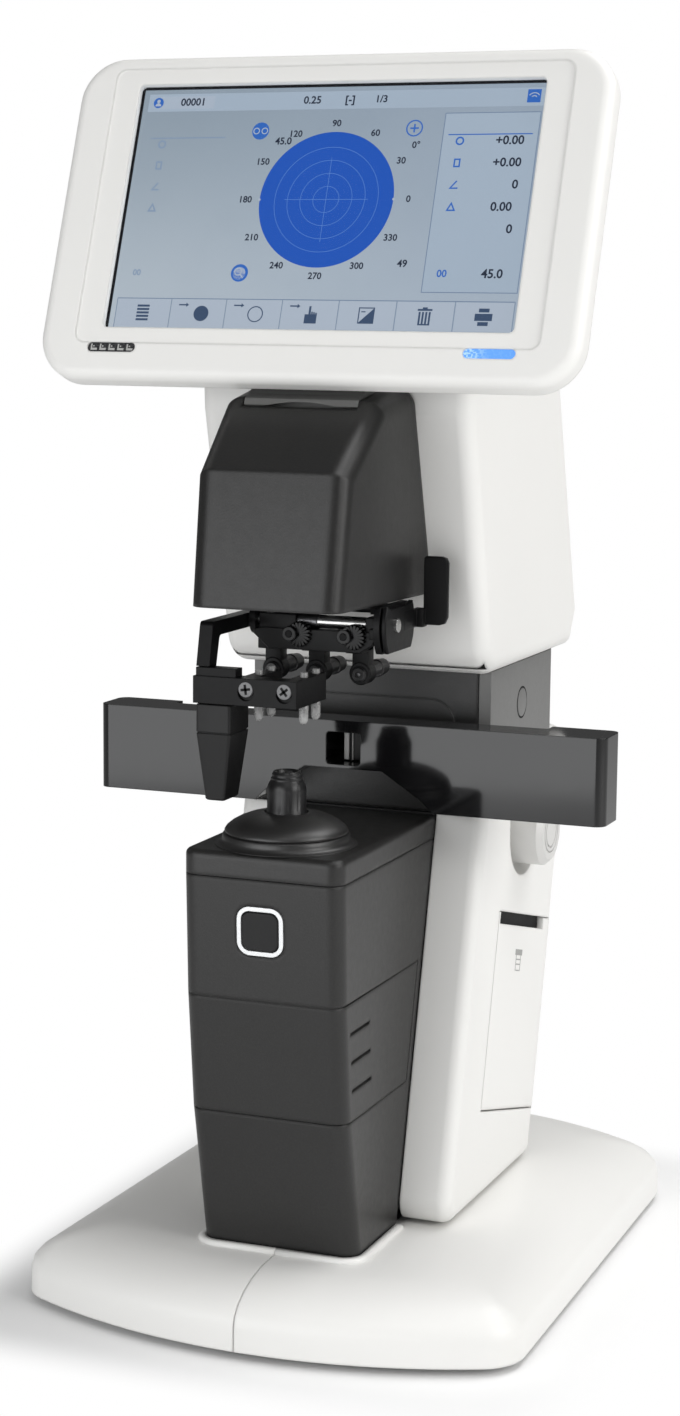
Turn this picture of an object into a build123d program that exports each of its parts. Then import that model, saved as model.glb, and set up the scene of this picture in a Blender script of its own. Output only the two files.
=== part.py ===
from build123d import *
from math import atan2, cos, degrees, radians, sin, tan
import os

# Automatic lens meter on a flat base. Millimetres, +Z up, -Y towards the user.
# The origin is the middle of the base where its feet touch the table.

# General walls and clearances
wall = 2.5
seam_gap = 0.3
running_gap = 0.05
slide_gap = 0.4

# Base
base_width = 193.0
base_rear_width = 183.0
base_depth = 263.0
base_end_radius = 200.0
base_rear_radius = 152.0
base_corner_radius = 17.0
base_skirt_height = 9.0
base_crown_height = 14.5
base_crown_inset = 32.0
base_crown_steps = 6
collar_width = 2.8
collar_height = 1.7
foot_height = 3.0
foot_radius = 9.0
foot_inset_x = 30.0
foot_inset_y = 42.0
chassis_thickness = 2.0
floor_z = foot_height + chassis_thickness

# Optical axis, where the lens is measured
optic_y = -86.0
rest_rim_z = 203.0
rest_rim_radius = 4.8
rest_neck_radius = 6.2
rest_body_radius = 7.3
rest_body_height = 14.5
rest_bore_radius = 3.4
dome_radius = 22.9
dome_ring_height = 4.4
dome_height = 7.2
dome_top_radius = 8.6

# Dark column in front
column_half_width = 30.3
column_front = [(-92.0, 28.0), (-103.5, 80.6), (-108.4, 123.9), (-110.3, 168.0)]
column_corner_radius = 6.0
cap_seam_z = 168.0
cap_height = 8.8
access_bottom_z = 80.6
access_top_z = 123.9
access_depth = 62.0
slit_length = 19.0
slit_height = 1.2
slit_pitch = 10.6

# Start button with its light ring
button_z = 149.3
button_side = 14.2
button_corner = 3.2
ring_width = 1.7
button_travel = 1.5
button_depth = 6.0

# White lower body, which leans forward towards the base
body_half_width = 50.0
body_foot_z = 27.5
body_top_z = 196.0
body_front_y = -49.6
body_rear_y = 57.0
body_lean = 14.0
body_front_corner = 5.0
body_rear_corner = 11.0
body_lip_radius = 8.0

# Neck
neck_half_width = 48.3
neck_front_y = -3.4
neck_depth = 82.0
neck_top_z = 231.0
neck_corner_radius = 8.0
neck_patch_x = (-30.0, 34.0)
neck_patch_sill = 3.7
neck_patch_top_z = 219.1
neck_patch_radius = 9.0
apron_half_width = 44.0
apron_gap = 1.0
apron_ledge = 2.0

# White upper housing
housing_half_width = 53.0
housing_front = [(-20.3, 231.0), (-44.8, 328.0), (-46.5, 350.0)]
housing_top_z = 355.0
housing_rear_top_y = 64.0
housing_rear_low_y = 93.0
housing_edge_radius = 6.0

# Dark head cover
head_front_half_width = 27.8
head_rear_half_width = 33.6
head_bottom_z = 262.5
head_front_y = -110.0
head_crease = (-103.0, 310.0)
head_slope_end = (-74.0, 334.0)
head_top_rear_z = 338.0
head_corner_radius = 7.0

# Lens table, a long bar that slides towards the optical axis
table_length = 202.6
table_bottom_z = 180.6
table_top_z = 213.1
table_front_y = -31.7
table_thickness = 20.3
table_corner_radius = 4.0
table_notch_length = 26.0
table_notch_depth = 6.0
arch_half_base = 35.0
arch_half_top = 15.5
arch_height = 14.4
slot_half_width = 6.9
slot_top_z = 208.7
slot_sill = 1.4
rail_x = 34.0
rail_z = 190.0
rail_radius = 4.0
rail_rear_y = 72.7
rail_clearance = 1.5

# Table drive: rack, pinion, cross shaft and hand knob
knob_y = 36.0
knob_z = 164.0
knob_radius = 13.5
knob_outer_x = 61.0
pocket_radius = 18.0
pocket_floor_x = 43.5
drive_radius = 9.0
drive_shaft_radius = 3.0
rack_height = 6.0
rack_lead = 1.0

# Screen
screen_y = -59.4
screen_z = 402.0
screen_tilt = 20.4
screen_width = 156.0
screen_height = 93.4
bezel_width = 205.0
bezel_height = 124.0
bezel_drop = 4.0
bezel_corner = 17.0
bezel_depth = 9.0
glass_depth = 3.0
glass_thickness = 1.2
panel_thickness = 3.6
rear_bulge_width = 150.0
rear_bulge_height = 64.0
rear_bulge_depth = 16.0
lamp_height = 3.7
lamp_left_x = -72.8
lamp_right_x = 70.3
lamp_length = 19.0
lamp_z = -54.4

# Screen hinge
hinge_y = -57.0
hinge_z = 343.0
hinge_pin_radius = 2.0
hinge_barrel_radius = 5.5
cradle_half_width = 21.7
hinge_lug_inner = 8.0
hinge_lug_outer = 14.0

# Lens presser with four sprung pins
pin_spacing_x = 17.2
pin_spacing_y = 11.2
pin_radius = 1.75
pin_tip_z = 221.0
pin_top_z = 239.6
presser_front_y = -105.0
presser_bottom_z = 228.2
presser_top_z = 237.8
presser_left_x = -28.0
presser_right_x = 11.3
presser_bar_depth = 7.5
prong_inner = 5.7
prong_rear_y = -77.5
arm_thickness = 5.0
arm_top_z = 256.5
arm_height = 5.2
presser_rod_x = -22.0
presser_rod_y = -40.0
presser_rod_radius = 3.0
grip_bottom_z = 193.2
grip_width = 13.2
grip_depth = 18.5

# Marker: three ink pens on a turning frame
marker_y = -66.8
marker_z = 254.5
marker_left_x = -21.0
marker_right_x = 31.0
marker_shaft_radius = 2.4
pen_pitch = 17.0
pen_drop = 19.2
pen_radius = 2.6
pen_body_radius = 3.0
pen_front_y = -61.0
pen_length = 30.0
cheek_radius = 15.0
cheek_low = 9.7
cheek_offset = 4.8
cheek_thickness = 2.4
marker_post_radius = 2.5
marker_post_x = 12.0
marker_post_y = -42.0
paddle_outer_x = 44.5
paddle_y = -43.5
paddle_bottom_z = 252.5
paddle_top_z = 277.3
paddle_thickness = 2.6
paddle_offset = 3.6
lever_thickness = 1.8

# Printer in the right-hand flank
printer_y = 29.8
printer_z = 91.7
printer_lean = 14.3
door_length = 67.0
door_height = 77.0
door_thickness = 2.5
stub_radius = 0.6
paper_slot_length = 56.6
paper_slot_height = 4.5
paper_slot_shift = -3.3
paper_roll_radius = 16.0
paper_width = 56.0
spindle_radius = 4.0
platen_radius = 5.0
platen_axle_radius = 1.5
printer_depth = 39.5

# Inner frame and optics
frame_half_thickness = 8.0
barrel_radius = 11.0
lens_radius = 9.0
board_thickness = 1.6

# Rear sockets
socket_z = 62.0
socket_plate_x = -8.0
socket_plate_width = 60.0
socket_plate_height = 34.0
inlet_width = 27.0
inlet_height = 20.0
rocker_width = 12.6
rocker_height = 19.0
rocker_tilt = 8.0

pieces = {}
boards = []
lenses = []


def block(x0, x1, y0, y1, z0, z1):
    size = Box(x1 - x0, y1 - y0, z1 - z0)
    return Pos((x0 + x1) / 2, (y0 + y1) / 2, (z0 + z1) / 2) * size


def rod_x(y, z, radius, x0, x1):
    return Pos((x0 + x1) / 2, y, z) * Rot(0, 90, 0) * Cylinder(radius, x1 - x0)


def rod_y(x, z, radius, y0, y1):
    return Pos(x, (y0 + y1) / 2, z) * Rot(90, 0, 0) * Cylinder(radius, y1 - y0)


def rod_z(x, y, radius, z0, z1):
    return Pos(x, y, (z0 + z1) / 2) * Cylinder(radius, z1 - z0)


def side_face(points, inset=0.0):
    # A closed outline of (y, z) points, drawn inwards by the inset
    face = make_face(Plane.YZ * Polyline(*points, close=True))
    return offset(face, amount=-inset, kind=Kind.INTERSECTION) if inset else face


def side_prism(points, x0, x1, inset=0.0):
    return Pos(x0, 0, 0) * extrude(side_face(points, inset), x1 - x0, dir=(1, 0, 0))


def front_prism(points, y0, y1):
    # A closed outline of (x, z) points, from y0 back to y1
    plane = Plane(origin=(0, y1, 0), x_dir=(1, 0, 0), z_dir=(0, -1, 0))
    return extrude(plane * make_face(Polyline(*points, close=True)), y1 - y0, dir=(0, -1, 0))


def panel(width, height, corner, y0, y1):
    # An upright plate with rounded corners, centred on x = 0 and z = 0
    plane = Plane(origin=(0, y1, 0), x_dir=(1, 0, 0), z_dir=(0, -1, 0))
    return extrude(plane * RectangleRounded(width, height, corner), y1 - y0)


def lean_at(z):
    # How far the leaning body has moved back at height z
    return (z - body_foot_z) * tan(radians(body_lean))


def body_outline():
    rise = lean_at(body_top_z)
    return [
        (body_front_y, body_foot_z),
        (body_front_y + rise, body_top_z),
        (body_rear_y + rise, body_top_z),
        (body_rear_y, body_foot_z),
    ]


def body_front_at(z):
    return body_front_y + lean_at(z)


def body_rear_at(z):
    return body_rear_y + lean_at(z)


def column_front_at(z):
    for low, high in zip(column_front, column_front[1:]):
        if z <= high[1]:
            break
    return low[0] + (high[0] - low[0]) * (z - low[1]) / (high[1] - low[1])


def housing_front_at(z):
    low, high = housing_front[0], housing_front[1]
    return low[0] + (high[0] - low[0]) * (z - low[1]) / (high[1] - low[1])


# Base: steel pan, two crowned cover halves and four rubber feet

def base_face(shrink, z):
    # A little narrower at the rear, with a shallow arc at each end
    reach = base_depth / 2 - shrink
    half, rear_half = base_width / 2 - shrink, base_rear_width / 2 - shrink
    corners = [(-half, -reach), (half, -reach), (rear_half, reach), (-rear_half, reach)]
    face = make_face(Polyline(*corners, close=True))
    radius, rear_radius = base_end_radius - shrink, base_rear_radius - shrink
    face = face & Pos(0, radius - reach) * Circle(radius) & Pos(0, reach - rear_radius) * Circle(rear_radius)
    return Pos(0, 0, z) * fillet(face.vertices(), max(base_corner_radius - shrink, 8.0))


def base_plate(shrink, z0, z1):
    return extrude(base_face(shrink, z0), z1 - z0)


def crowned_base(shrink, z0):
    # The crown rises steeply at the rim, then levels off towards the middle
    shoulder_z = foot_height + base_skirt_height - shrink
    rings = []
    for step in range(base_crown_steps + 1):
        turn = radians(90 * step / base_crown_steps)
        inset = base_crown_inset * (1 - cos(turn))
        rings.append(base_face(shrink + inset, shoulder_z + base_crown_height * sin(turn)))
    return base_plate(shrink, z0, shoulder_z) + loft(rings, ruled=True)


def make_base():
    cover = crowned_base(0.0, foot_height) - crowned_base(wall, 0.0)
    opening_rear = body_rear_y - 3 * wall
    half = column_half_width - wall
    cover -= block(-half, half, column_front[0][0] + 2 * wall, opening_rear, 0, body_top_z)
    cover += foot_collar()
    left = block(-base_width, -seam_gap / 2, -base_depth, base_depth, 0, body_top_z)
    pieces["base_cover_left"] = cover & left
    pieces["base_cover_right"] = cover & mirror(left, Plane.YZ)
    pieces["base_pan"] = base_plate(wall + seam_gap, foot_height, floor_z)
    feet = []
    for sx in (-1, 1):
        for sy in (-1, 1):
            x = sx * (base_width / 2 - foot_inset_x)
            y = sy * (base_depth / 2 - foot_inset_y)
            foot = rod_z(x, y, foot_radius, 0, foot_height)
            feet.append(chamfer(foot.edges().sort_by(Axis.Z)[0], foot_height / 4))
    pieces["rubber_feet"] = Compound(children=feet)


def foot_collar():
    # A low lip round the column's foot, open towards the body
    top = foot_height + base_skirt_height + base_crown_height
    hole = column_half_width + seam_gap
    front = column_front[0][0] - seam_gap
    rim = hole + collar_width
    collar = block(-rim, rim, front - collar_width, body_front_y - 2 * seam_gap, top - 1, top + collar_height)
    collar = fillet([e for e in collar.edges().filter_by(Axis.Z) if e.center().Y < front],
                    column_corner_radius
                    + seam_gap + collar_width)
    collar = fillet(collar.faces().sort_by(Axis.Z)[-1].edges(), 0.8 * collar_height)
    inner = block(-hole, hole, front, body_front_y + 9, top, top + 9)
    inner = fillet([e for e in inner.edges().filter_by(Axis.Z) if e.center().Y < front + 1],
                   column_corner_radius
                   + seam_gap)
    return collar - inner


# White lower body in two halves, with the knob pocket and the printer doorway

def printer_place():
    return Pos(body_half_width, printer_y, printer_z) * Rot(-printer_lean, 0, 0)


def printer_block(x0, x1, along0, along1, up0, up1):
    # A box in the leaning printer frame; x counts from the flank's surface
    return printer_place() * block(x0, x1, along0, along1, up0, up1)


def front_lip(solid):
    low = solid.edges().filter_by(Axis.X).group_by(Axis.Z)[0]
    return low.sort_by(Axis.Y)[:1]


def body_shell():
    outer = side_prism(body_outline(), -body_half_width, body_half_width)
    outer = fillet(front_lip(outer), body_lip_radius)
    outer = fillet([e for e in outer.edges() if e.length > 100 and e.center().Y > 0], body_rear_corner)
    outer = fillet([e for e in outer.edges() if e.length > 100 and e.center().Y < 0], body_front_corner)
    inner = side_prism(body_outline(), wall - body_half_width, body_half_width - wall, wall)
    inner = fillet(front_lip(inner), body_lip_radius - wall)
    return outer - inner


def make_body():
    shell = body_shell()
    gap = column_half_width + seam_gap
    # The column passes through the front, the frame and rails pass through the top
    front_band = side_prism([
        (body_front_y - 1, body_foot_z - 1),
                             (body_front_at(cap_seam_z + cap_height) - 1, cap_seam_z + cap_height),
        (body_front_at(cap_seam_z + cap_height) + 9, cap_seam_z + cap_height),
                             (body_front_y + 9, body_foot_z - 1),
    ], -gap, gap)
    shell -= front_band
    top_half = neck_half_width - wall - seam_gap
    shell -= block(-top_half, top_half, neck_front_y + 6, rail_rear_y + 4 + slide_gap, body_top_z - 9,
                   body_top_z + 1)
    for side in (-1, 1):
        shell -= rod_y(side * rail_x, rail_z, rail_radius + 1.5, -60, 20)
    # A shallow relief keeps the front clear of the lens table
    shell -= block(-60, 60, -60, table_front_y + table_thickness + 0.6, table_bottom_z - 2, body_top_z + 1)
    # The neck's dark apron closes the front between the rails
    notch_half = apron_half_width + seam_gap
    notch_rear = table_front_y + table_thickness + apron_gap + wall + seam_gap
    shell -= block(-notch_half, notch_half, body_front_y, notch_rear, cap_seam_z + cap_height, body_top_z + 1)
    shell -= block(-gap, gap, body_front_y + 6, body_rear_y - 9, body_foot_z - 1, body_foot_z + 2 * wall)
    socket_left = socket_plate_x - socket_plate_width / 2
    shell -= rear_place() * block(
        socket_left, socket_left + socket_plate_width, -9, 9, -socket_plate_height / 2,
                                  socket_plate_height / 2)
    left = shell & block(-99, -seam_gap / 2, -200, 200, 0, 300)
    right = shell & block(seam_gap / 2, 99, -200, 200, 0, 300)
    # Knob pocket: a U-shaped recess with its own floor and rim wall
    pocket = rod_x(knob_y, knob_z, pocket_radius, pocket_floor_x, body_half_width + 1)
    pocket += block(pocket_floor_x, body_half_width + 1, knob_y - pocket_radius, knob_y + pocket_radius,
                    knob_z,
                    body_top_z - 5)
    cup = rod_x(knob_y, knob_z, pocket_radius + wall, pocket_floor_x - wall, body_half_width - wall)
    cup += block(pocket_floor_x - wall, body_half_width - wall, knob_y - pocket_radius - wall,
                 knob_y + pocket_radius + wall, knob_z, body_top_z - 5 + wall)
    right = (right + cup) - pocket
    right -= rod_x(knob_y, knob_z, drive_shaft_radius + slide_gap, 0, body_half_width)
    right -= printer_block(-9, 1, -door_length / 2, door_length / 2, -door_height / 2, door_height / 2)
    stub_up = slide_gap + door_thickness / 2 - door_height / 2
    stub_hole = door_length / 2 + 2
    right -= printer_place() * rod_y(-door_thickness / 2, stub_up, stub_radius + running_gap, -stub_hole,
                                     stub_hole)
    pieces["body_cover_left"] = left
    pieces["body_cover_right"] = right


# Dark column: one shell, a front access cover, a cap, and the start button

def column_points(inset=0.0):
    top = (column_front_at(cap_seam_z) + inset, cap_seam_z - seam_gap)
    front = [(y + inset, z) for y, z in column_front[:-1]] + [top]
    foot = column_front[0][1]
    rear = [(body_front_at(cap_seam_z) - seam_gap, top[1]), (body_front_at(foot) - seam_gap, foot)]
    return front + rear


def column_solid(inset=0.0):
    half = column_half_width - inset
    solid = side_prism(column_points(inset), -half, half)
    corners = [e for e in solid.edges() if abs(e.tangent_at(0.5).X) < 0.1 and e.center().Y < -88
               and e.bounding_box().size.Z > 20]
    return fillet(corners, column_corner_radius - inset)


def access_zone(gap):
    low, high = access_bottom_z - gap, access_top_z + gap
    front = column_front_at(low) - 20
    rear = column_front_at(low) + access_depth + gap
    return side_prism([(front, low), (front, high), (rear + lean_at(high) - lean_at(low), high), (rear, low)],
                      -60, 60)


def make_column():
    outer = column_solid()
    inner = column_solid(wall)
    shell = outer - inner - Pos(0, 0, -wall) * inner - Pos(0, 0, wall) * inner
    low, high = body_front_at(40), body_front_at(160)
    shell -= side_prism([(low - 6, 40), (high - 6, 160), (high + 3, 160), (low + 3, 40)], -20, 20)
    access = shell & access_zone(0.0)
    shell -= access_zone(seam_gap)
    slits = []
    for side in (-1, 1):
        for row in range(3):
            z = (access_bottom_z + access_top_z) / 2 + (row - 1) * slit_pitch
            y0 = column_front_at(z) + 8
            x0 = side * column_half_width
            slits.append(block(x0 - 0.9, x0 + 0.9, y0, y0 + slit_length, z - slit_height / 2,
                               z + slit_height / 2))
    for slit in slits:
        access -= slit
    hole = button_place() * panel(ring_side + 2 * seam_gap, ring_side + 2 * seam_gap, ring_corner + seam_gap,
                                  -9, 9)
    shell -= hole
    pieces["column_shell"] = shell
    pieces["access_cover"] = access
    ring = panel(ring_side, ring_side, ring_corner, -0.2, button_depth)
    ring -= panel(button_side + seam_gap, button_side + seam_gap, button_corner, -9, 9)
    pieces["button_light_ring"] = button_place() * ring
    cap_button = panel(button_side - seam_gap, button_side - seam_gap, button_corner, -0.5, button_depth - 1)
    cap_button = fillet(cap_button.faces().sort_by(Axis.Y)[0].edges(), 0.6)
    pieces["start_button"] = button_place() * cap_button
    board = block(-ring_side / 2 - 3, ring_side / 2 + 3, button_depth + button_travel,
                  button_depth + button_travel
                  + board_thickness, -ring_side / 2 - 3, ring_side / 2 + 3)
    spacer = panel(ring_side + 2, ring_side + 2, ring_corner, button_depth + seam_gap,
                   button_depth + button_travel)
    spacer -= panel(button_side + 1, button_side + 1, button_corner, -9, 20)
    boards.append(button_place() * (board + spacer))
    cap_z = cap_seam_z + cap_height
    half = column_half_width
    cap = block(-half, half, column_front_at(cap_seam_z), body_front_at(cap_z) - seam_gap, cap_seam_z, cap_z)
    corners = [e for e in cap.edges().filter_by(Axis.Z) if e.center().Y < -90]
    cap = fillet(corners, column_corner_radius)
    cap = fillet(cap.faces().sort_by(Axis.Z)[-1].edges(), 2.2)
    cap -= block(wall - half, half - wall, column_front_at(cap_seam_z) + wall,
                 body_front_at(cap_seam_z) - 2 * wall,
                 cap_seam_z - 1, cap_z - wall)
    cap -= rod_z(0, optic_y, barrel_radius + seam_gap, cap_seam_z, cap_z + 1)
    pieces["column_cap"] = cap


def button_place():
    top, low = column_front[-1], column_front[-2]
    tip = degrees(atan2(low[0] - top[0], top[1] - low[1]))
    return Pos(0, column_front_at(button_z), button_z) * Rot(tip, 0, 0)


ring_side = button_side + 2 * ring_width
ring_corner = button_corner + ring_width


# Lens rest: dome, nose piece and the receiving optics under it

def turned(points):
    # A solid of revolution about the optical axis from (radius, z) points
    face = make_face(Plane.XZ * Polyline(*points, close=True))
    return Pos(0, optic_y, 0) * revolve(face, Axis.Z)


def make_lens_rest():
    base_z = cap_seam_z + cap_height
    dome_z = base_z + dome_ring_height
    bore = barrel_radius
    rim = [(bore + seam_gap, base_z), (dome_radius, base_z), (dome_radius, dome_z),
           (dome_radius - 0.5, dome_z),
           (dome_radius - 0.5, dome_z + 0.5), (dome_radius, dome_z + 0.5)]
    curve = []
    for step in range(1, 7):
        turn = radians(15 * step)
        curve.append((dome_top_radius + (dome_radius - dome_top_radius) * cos(turn),
                      dome_z + dome_height * sin(turn)))
    hub = rest_body_radius - 2.0
    top = dome_z + dome_height
    dome = turned(rim + curve + [(hub + seam_gap, top), (hub + seam_gap, top - 2 * wall),
                                 (bore + seam_gap, top - 2 * wall)])
    pieces["rest_dome"] = dome
    low = rest_rim_z - rest_body_height
    nose = turned([
        (rest_bore_radius, low - 6), (hub, low - 6), (hub, low), (rest_body_radius, low),
                   (rest_body_radius, low + 5.5),
        (rest_neck_radius, low + 8.0), (rest_neck_radius, rest_rim_z - 3.2),
                   (rest_rim_radius + 0.4, rest_rim_z - 2.0),
        (rest_rim_radius, rest_rim_z), (rest_bore_radius, rest_rim_z)])
    for step in range(10):
        groove = Rot(0, 0, 36 * step) * rod_z(rest_body_radius + 0.5, 0, 1.0, low + 0.8, low + 6)
        nose -= Pos(0, optic_y, 0) * groove
    pieces["nose_piece"] = nose
    tube_top = low - 6 - seam_gap
    tube = turned([(lens_radius, 120), (barrel_radius, 120), (barrel_radius, tube_top),
                   (lens_radius, tube_top)])
    pieces["receiver_tube"] = tube
    lens = turned([(0, 160), (lens_radius - running_gap, 161.2), (lens_radius - running_gap, 163.8),
                   (0, 165)])
    plate = turned([(0, 140), (lens_radius - running_gap, 140), (lens_radius - running_gap, 141.5),
                    (0, 141.5)])
    lenses.extend([lens, plate])
    boards.append(block(-16, 16, optic_y - 14, optic_y + 20, 119.7 - board_thickness, 119.7))


# Neck, upper housing and head cover

def make_neck():
    rear = neck_front_y + neck_depth
    outer = block(-neck_half_width, neck_half_width, neck_front_y, rear, body_top_z + seam_gap,
                  neck_top_z - seam_gap)
    low, high = body_top_z + seam_gap, neck_top_z - seam_gap
    outer = block(-neck_half_width, neck_half_width, neck_front_y, rear, low, high)
    outer = fillet([e for e in outer.edges().filter_by(Axis.Z) if e.center().Y > 0], neck_corner_radius)
    shell = outer - block(wall - neck_half_width, neck_half_width - wall, neck_front_y + wall, rear - wall,
                          low, high)
    # The grey sides meet behind; the dark front, its raised patch and its apron are one moulding
    front_half = neck_half_width - 2 * wall
    front_rear = neck_front_y + 1.4 * wall
    front = shell & block(-front_half, front_half, neck_front_y, front_rear, low, high)
    gap_half = front_half + seam_gap
    sides = shell - block(-gap_half, gap_half, neck_front_y, front_rear, low, high)
    sides -= block(-seam_gap / 2, seam_gap / 2, front_rear, rear, low, high)
    patch = block(*neck_patch_x, neck_front_y - 0.4, neck_front_y + 1.4, low + neck_patch_sill,
                  neck_patch_top_z)
    patch = fillet(patch.edges().filter_by(Axis.Y).group_by(Axis.Z)[-1], neck_patch_radius)
    apron_front = table_front_y + table_thickness + apron_gap
    ledge_top = low + apron_ledge
    apron = block(-apron_half_width, apron_half_width, apron_front, apron_front + wall,
                  cap_seam_z + cap_height + seam_gap, ledge_top)
    apron += block(-apron_half_width, apron_half_width, apron_front, neck_front_y + 1, low, ledge_top)
    front += patch + apron
    for side in (-1, 1):
        front -= rod_y(side * rail_x, rail_z, rail_radius + rail_clearance, apron_front - 1, rear)
    gap_half = apron_half_width + seam_gap
    sides -= block(-gap_half, gap_half, neck_front_y, neck_front_y + wall + seam_gap, low,
                   ledge_top + seam_gap)
    pieces["neck_side_left"] = sides & block(-neck_half_width, 0, neck_front_y, rear, low, high)
    pieces["neck_side_right"] = sides & block(0, neck_half_width, neck_front_y, rear, low, high)
    pieces["neck_front"] = front


def housing_points():
    low, high = housing_front[0], housing_front[1]
    return [low, high, housing_front[2], (housing_front[2][0] + 8, housing_top_z), (housing_rear_top_y - 10,
            housing_top_z), (housing_rear_top_y, housing_top_z - 14), (housing_rear_low_y, neck_top_z + 14),
            (housing_rear_low_y - 8, neck_top_z)]


def make_housing():
    points = housing_points()
    outer = side_prism(points, -housing_half_width, housing_half_width)
    across = [e for e in outer.edges() if abs(e.tangent_at(0.5).X) > 0.9]
    front_low = [e for e in across if abs(e.center().Y - points[0][0]) < 1]
    outer = fillet(front_low, 13.0)
    rims = [e for e in outer.edges() if abs(abs(e.center().X) - housing_half_width) < 0.01]
    outer = fillet(rims, housing_edge_radius)
    inner = side_prism(points, wall - housing_half_width, housing_half_width - wall, wall)
    shell = outer - inner
    # Doorways: the head at the front, the neck below, and the service cover behind
    gap = head_rear_half_width - wall - 0.2
    shell -= block(-gap, gap, -60, 0, head_bottom_z + 2 * wall, head_top_rear_z - 2 * wall)
    neck_gap = neck_half_width - 3 * wall
    shell -= block(-neck_gap, neck_gap, neck_front_y + 2 * wall, neck_front_y + neck_depth - 3 * wall, 200,
                   neck_top_z + 12)
    cover_half = housing_half_width - 4 * wall
    zone = block(-cover_half, cover_half, 30, 120, neck_top_z + 20, housing_top_z - 20)
    gap_zone = block(-cover_half - seam_gap, cover_half + seam_gap, 30, 120, neck_top_z + 20 - seam_gap,
                     housing_top_z - 20 + seam_gap)
    pieces["rear_cover"] = shell & zone
    vents = []
    for row in range(7):
        z = housing_top_z - 30 - 6 * row
        vents.append(block(-28, 28, 30, 120, z - 1.2, z + 1.2))
    for vent in vents:
        pieces["rear_cover"] -= vent
    pieces["upper_housing"] = shell - gap_zone


def head_points():
    rear_low = housing_front_at(head_bottom_z) - seam_gap
    rear_top = housing_front_at(head_top_rear_z) - seam_gap
    knee = housing_front[1]
    return [(head_front_y, head_bottom_z), head_crease, head_slope_end, (rear_top, head_top_rear_z),
            (knee[0] - seam_gap, knee[1]), (rear_low, head_bottom_z)]


def head_solid(inset=0.0):
    solid = side_prism(head_points(), -60, 60, inset)
    front, rear = head_front_half_width - inset, head_rear_half_width - inset
    plan = Plane.XY * Polyline((-front, head_front_y), (front, head_front_y), (rear, -20), (-rear, -20),
                               close=True)
    return solid & (Pos(0, 0, 200) * extrude(make_face(plan), 200))


def make_head():
    outer = head_solid()
    rising = [e for e in outer.edges() if abs(e.center().X) > 20 and e.bounding_box().size.X < 4
              and e.center().Y < -52 and e.center().Z > 264]
    outer = fillet(rising, head_corner_radius)
    shell = outer - head_solid(wall)
    reach = head_front_half_width - wall - 0.2
    shell -= block(-reach, reach, head_front_y + 4, -34, head_bottom_z - 1, head_bottom_z + wall + 1)
    rear_reach = head_rear_half_width - wall - 0.5
    shell -= block(-rear_reach, rear_reach, -50, 0, head_bottom_z + 4, head_top_rear_z - 4)
    shell -= block(-cradle_half_width - seam_gap, cradle_half_width + seam_gap, -77.5, -30, 326, 360)
    pieces["head_cover"] = shell
    low = head_bottom_z + 3.5
    plate = block(-reach + seam_gap, reach - seam_gap, head_front_y + 4.5, -38, low, low + 2)
    plate -= rod_z(0, optic_y, barrel_radius + seam_gap, low - 1, low + 3)
    for x, y, r, *_ in guide_posts():
        plate -= rod_z(x, y, r + slide_gap, low - 1, low + 3)
    pieces["head_base_plate"] = plate


# Screen: front frame, rear shell, glass, panel, board and lamps, all tilted together

def screen_place():
    return Pos(0, screen_y, screen_z) * Rot(-screen_tilt, 0, 0)


def pill(x, length, height, y0, y1):
    return Pos(x, 0, lamp_z) * panel(length, height, height / 2 - 0.01, y0, y1)


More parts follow.
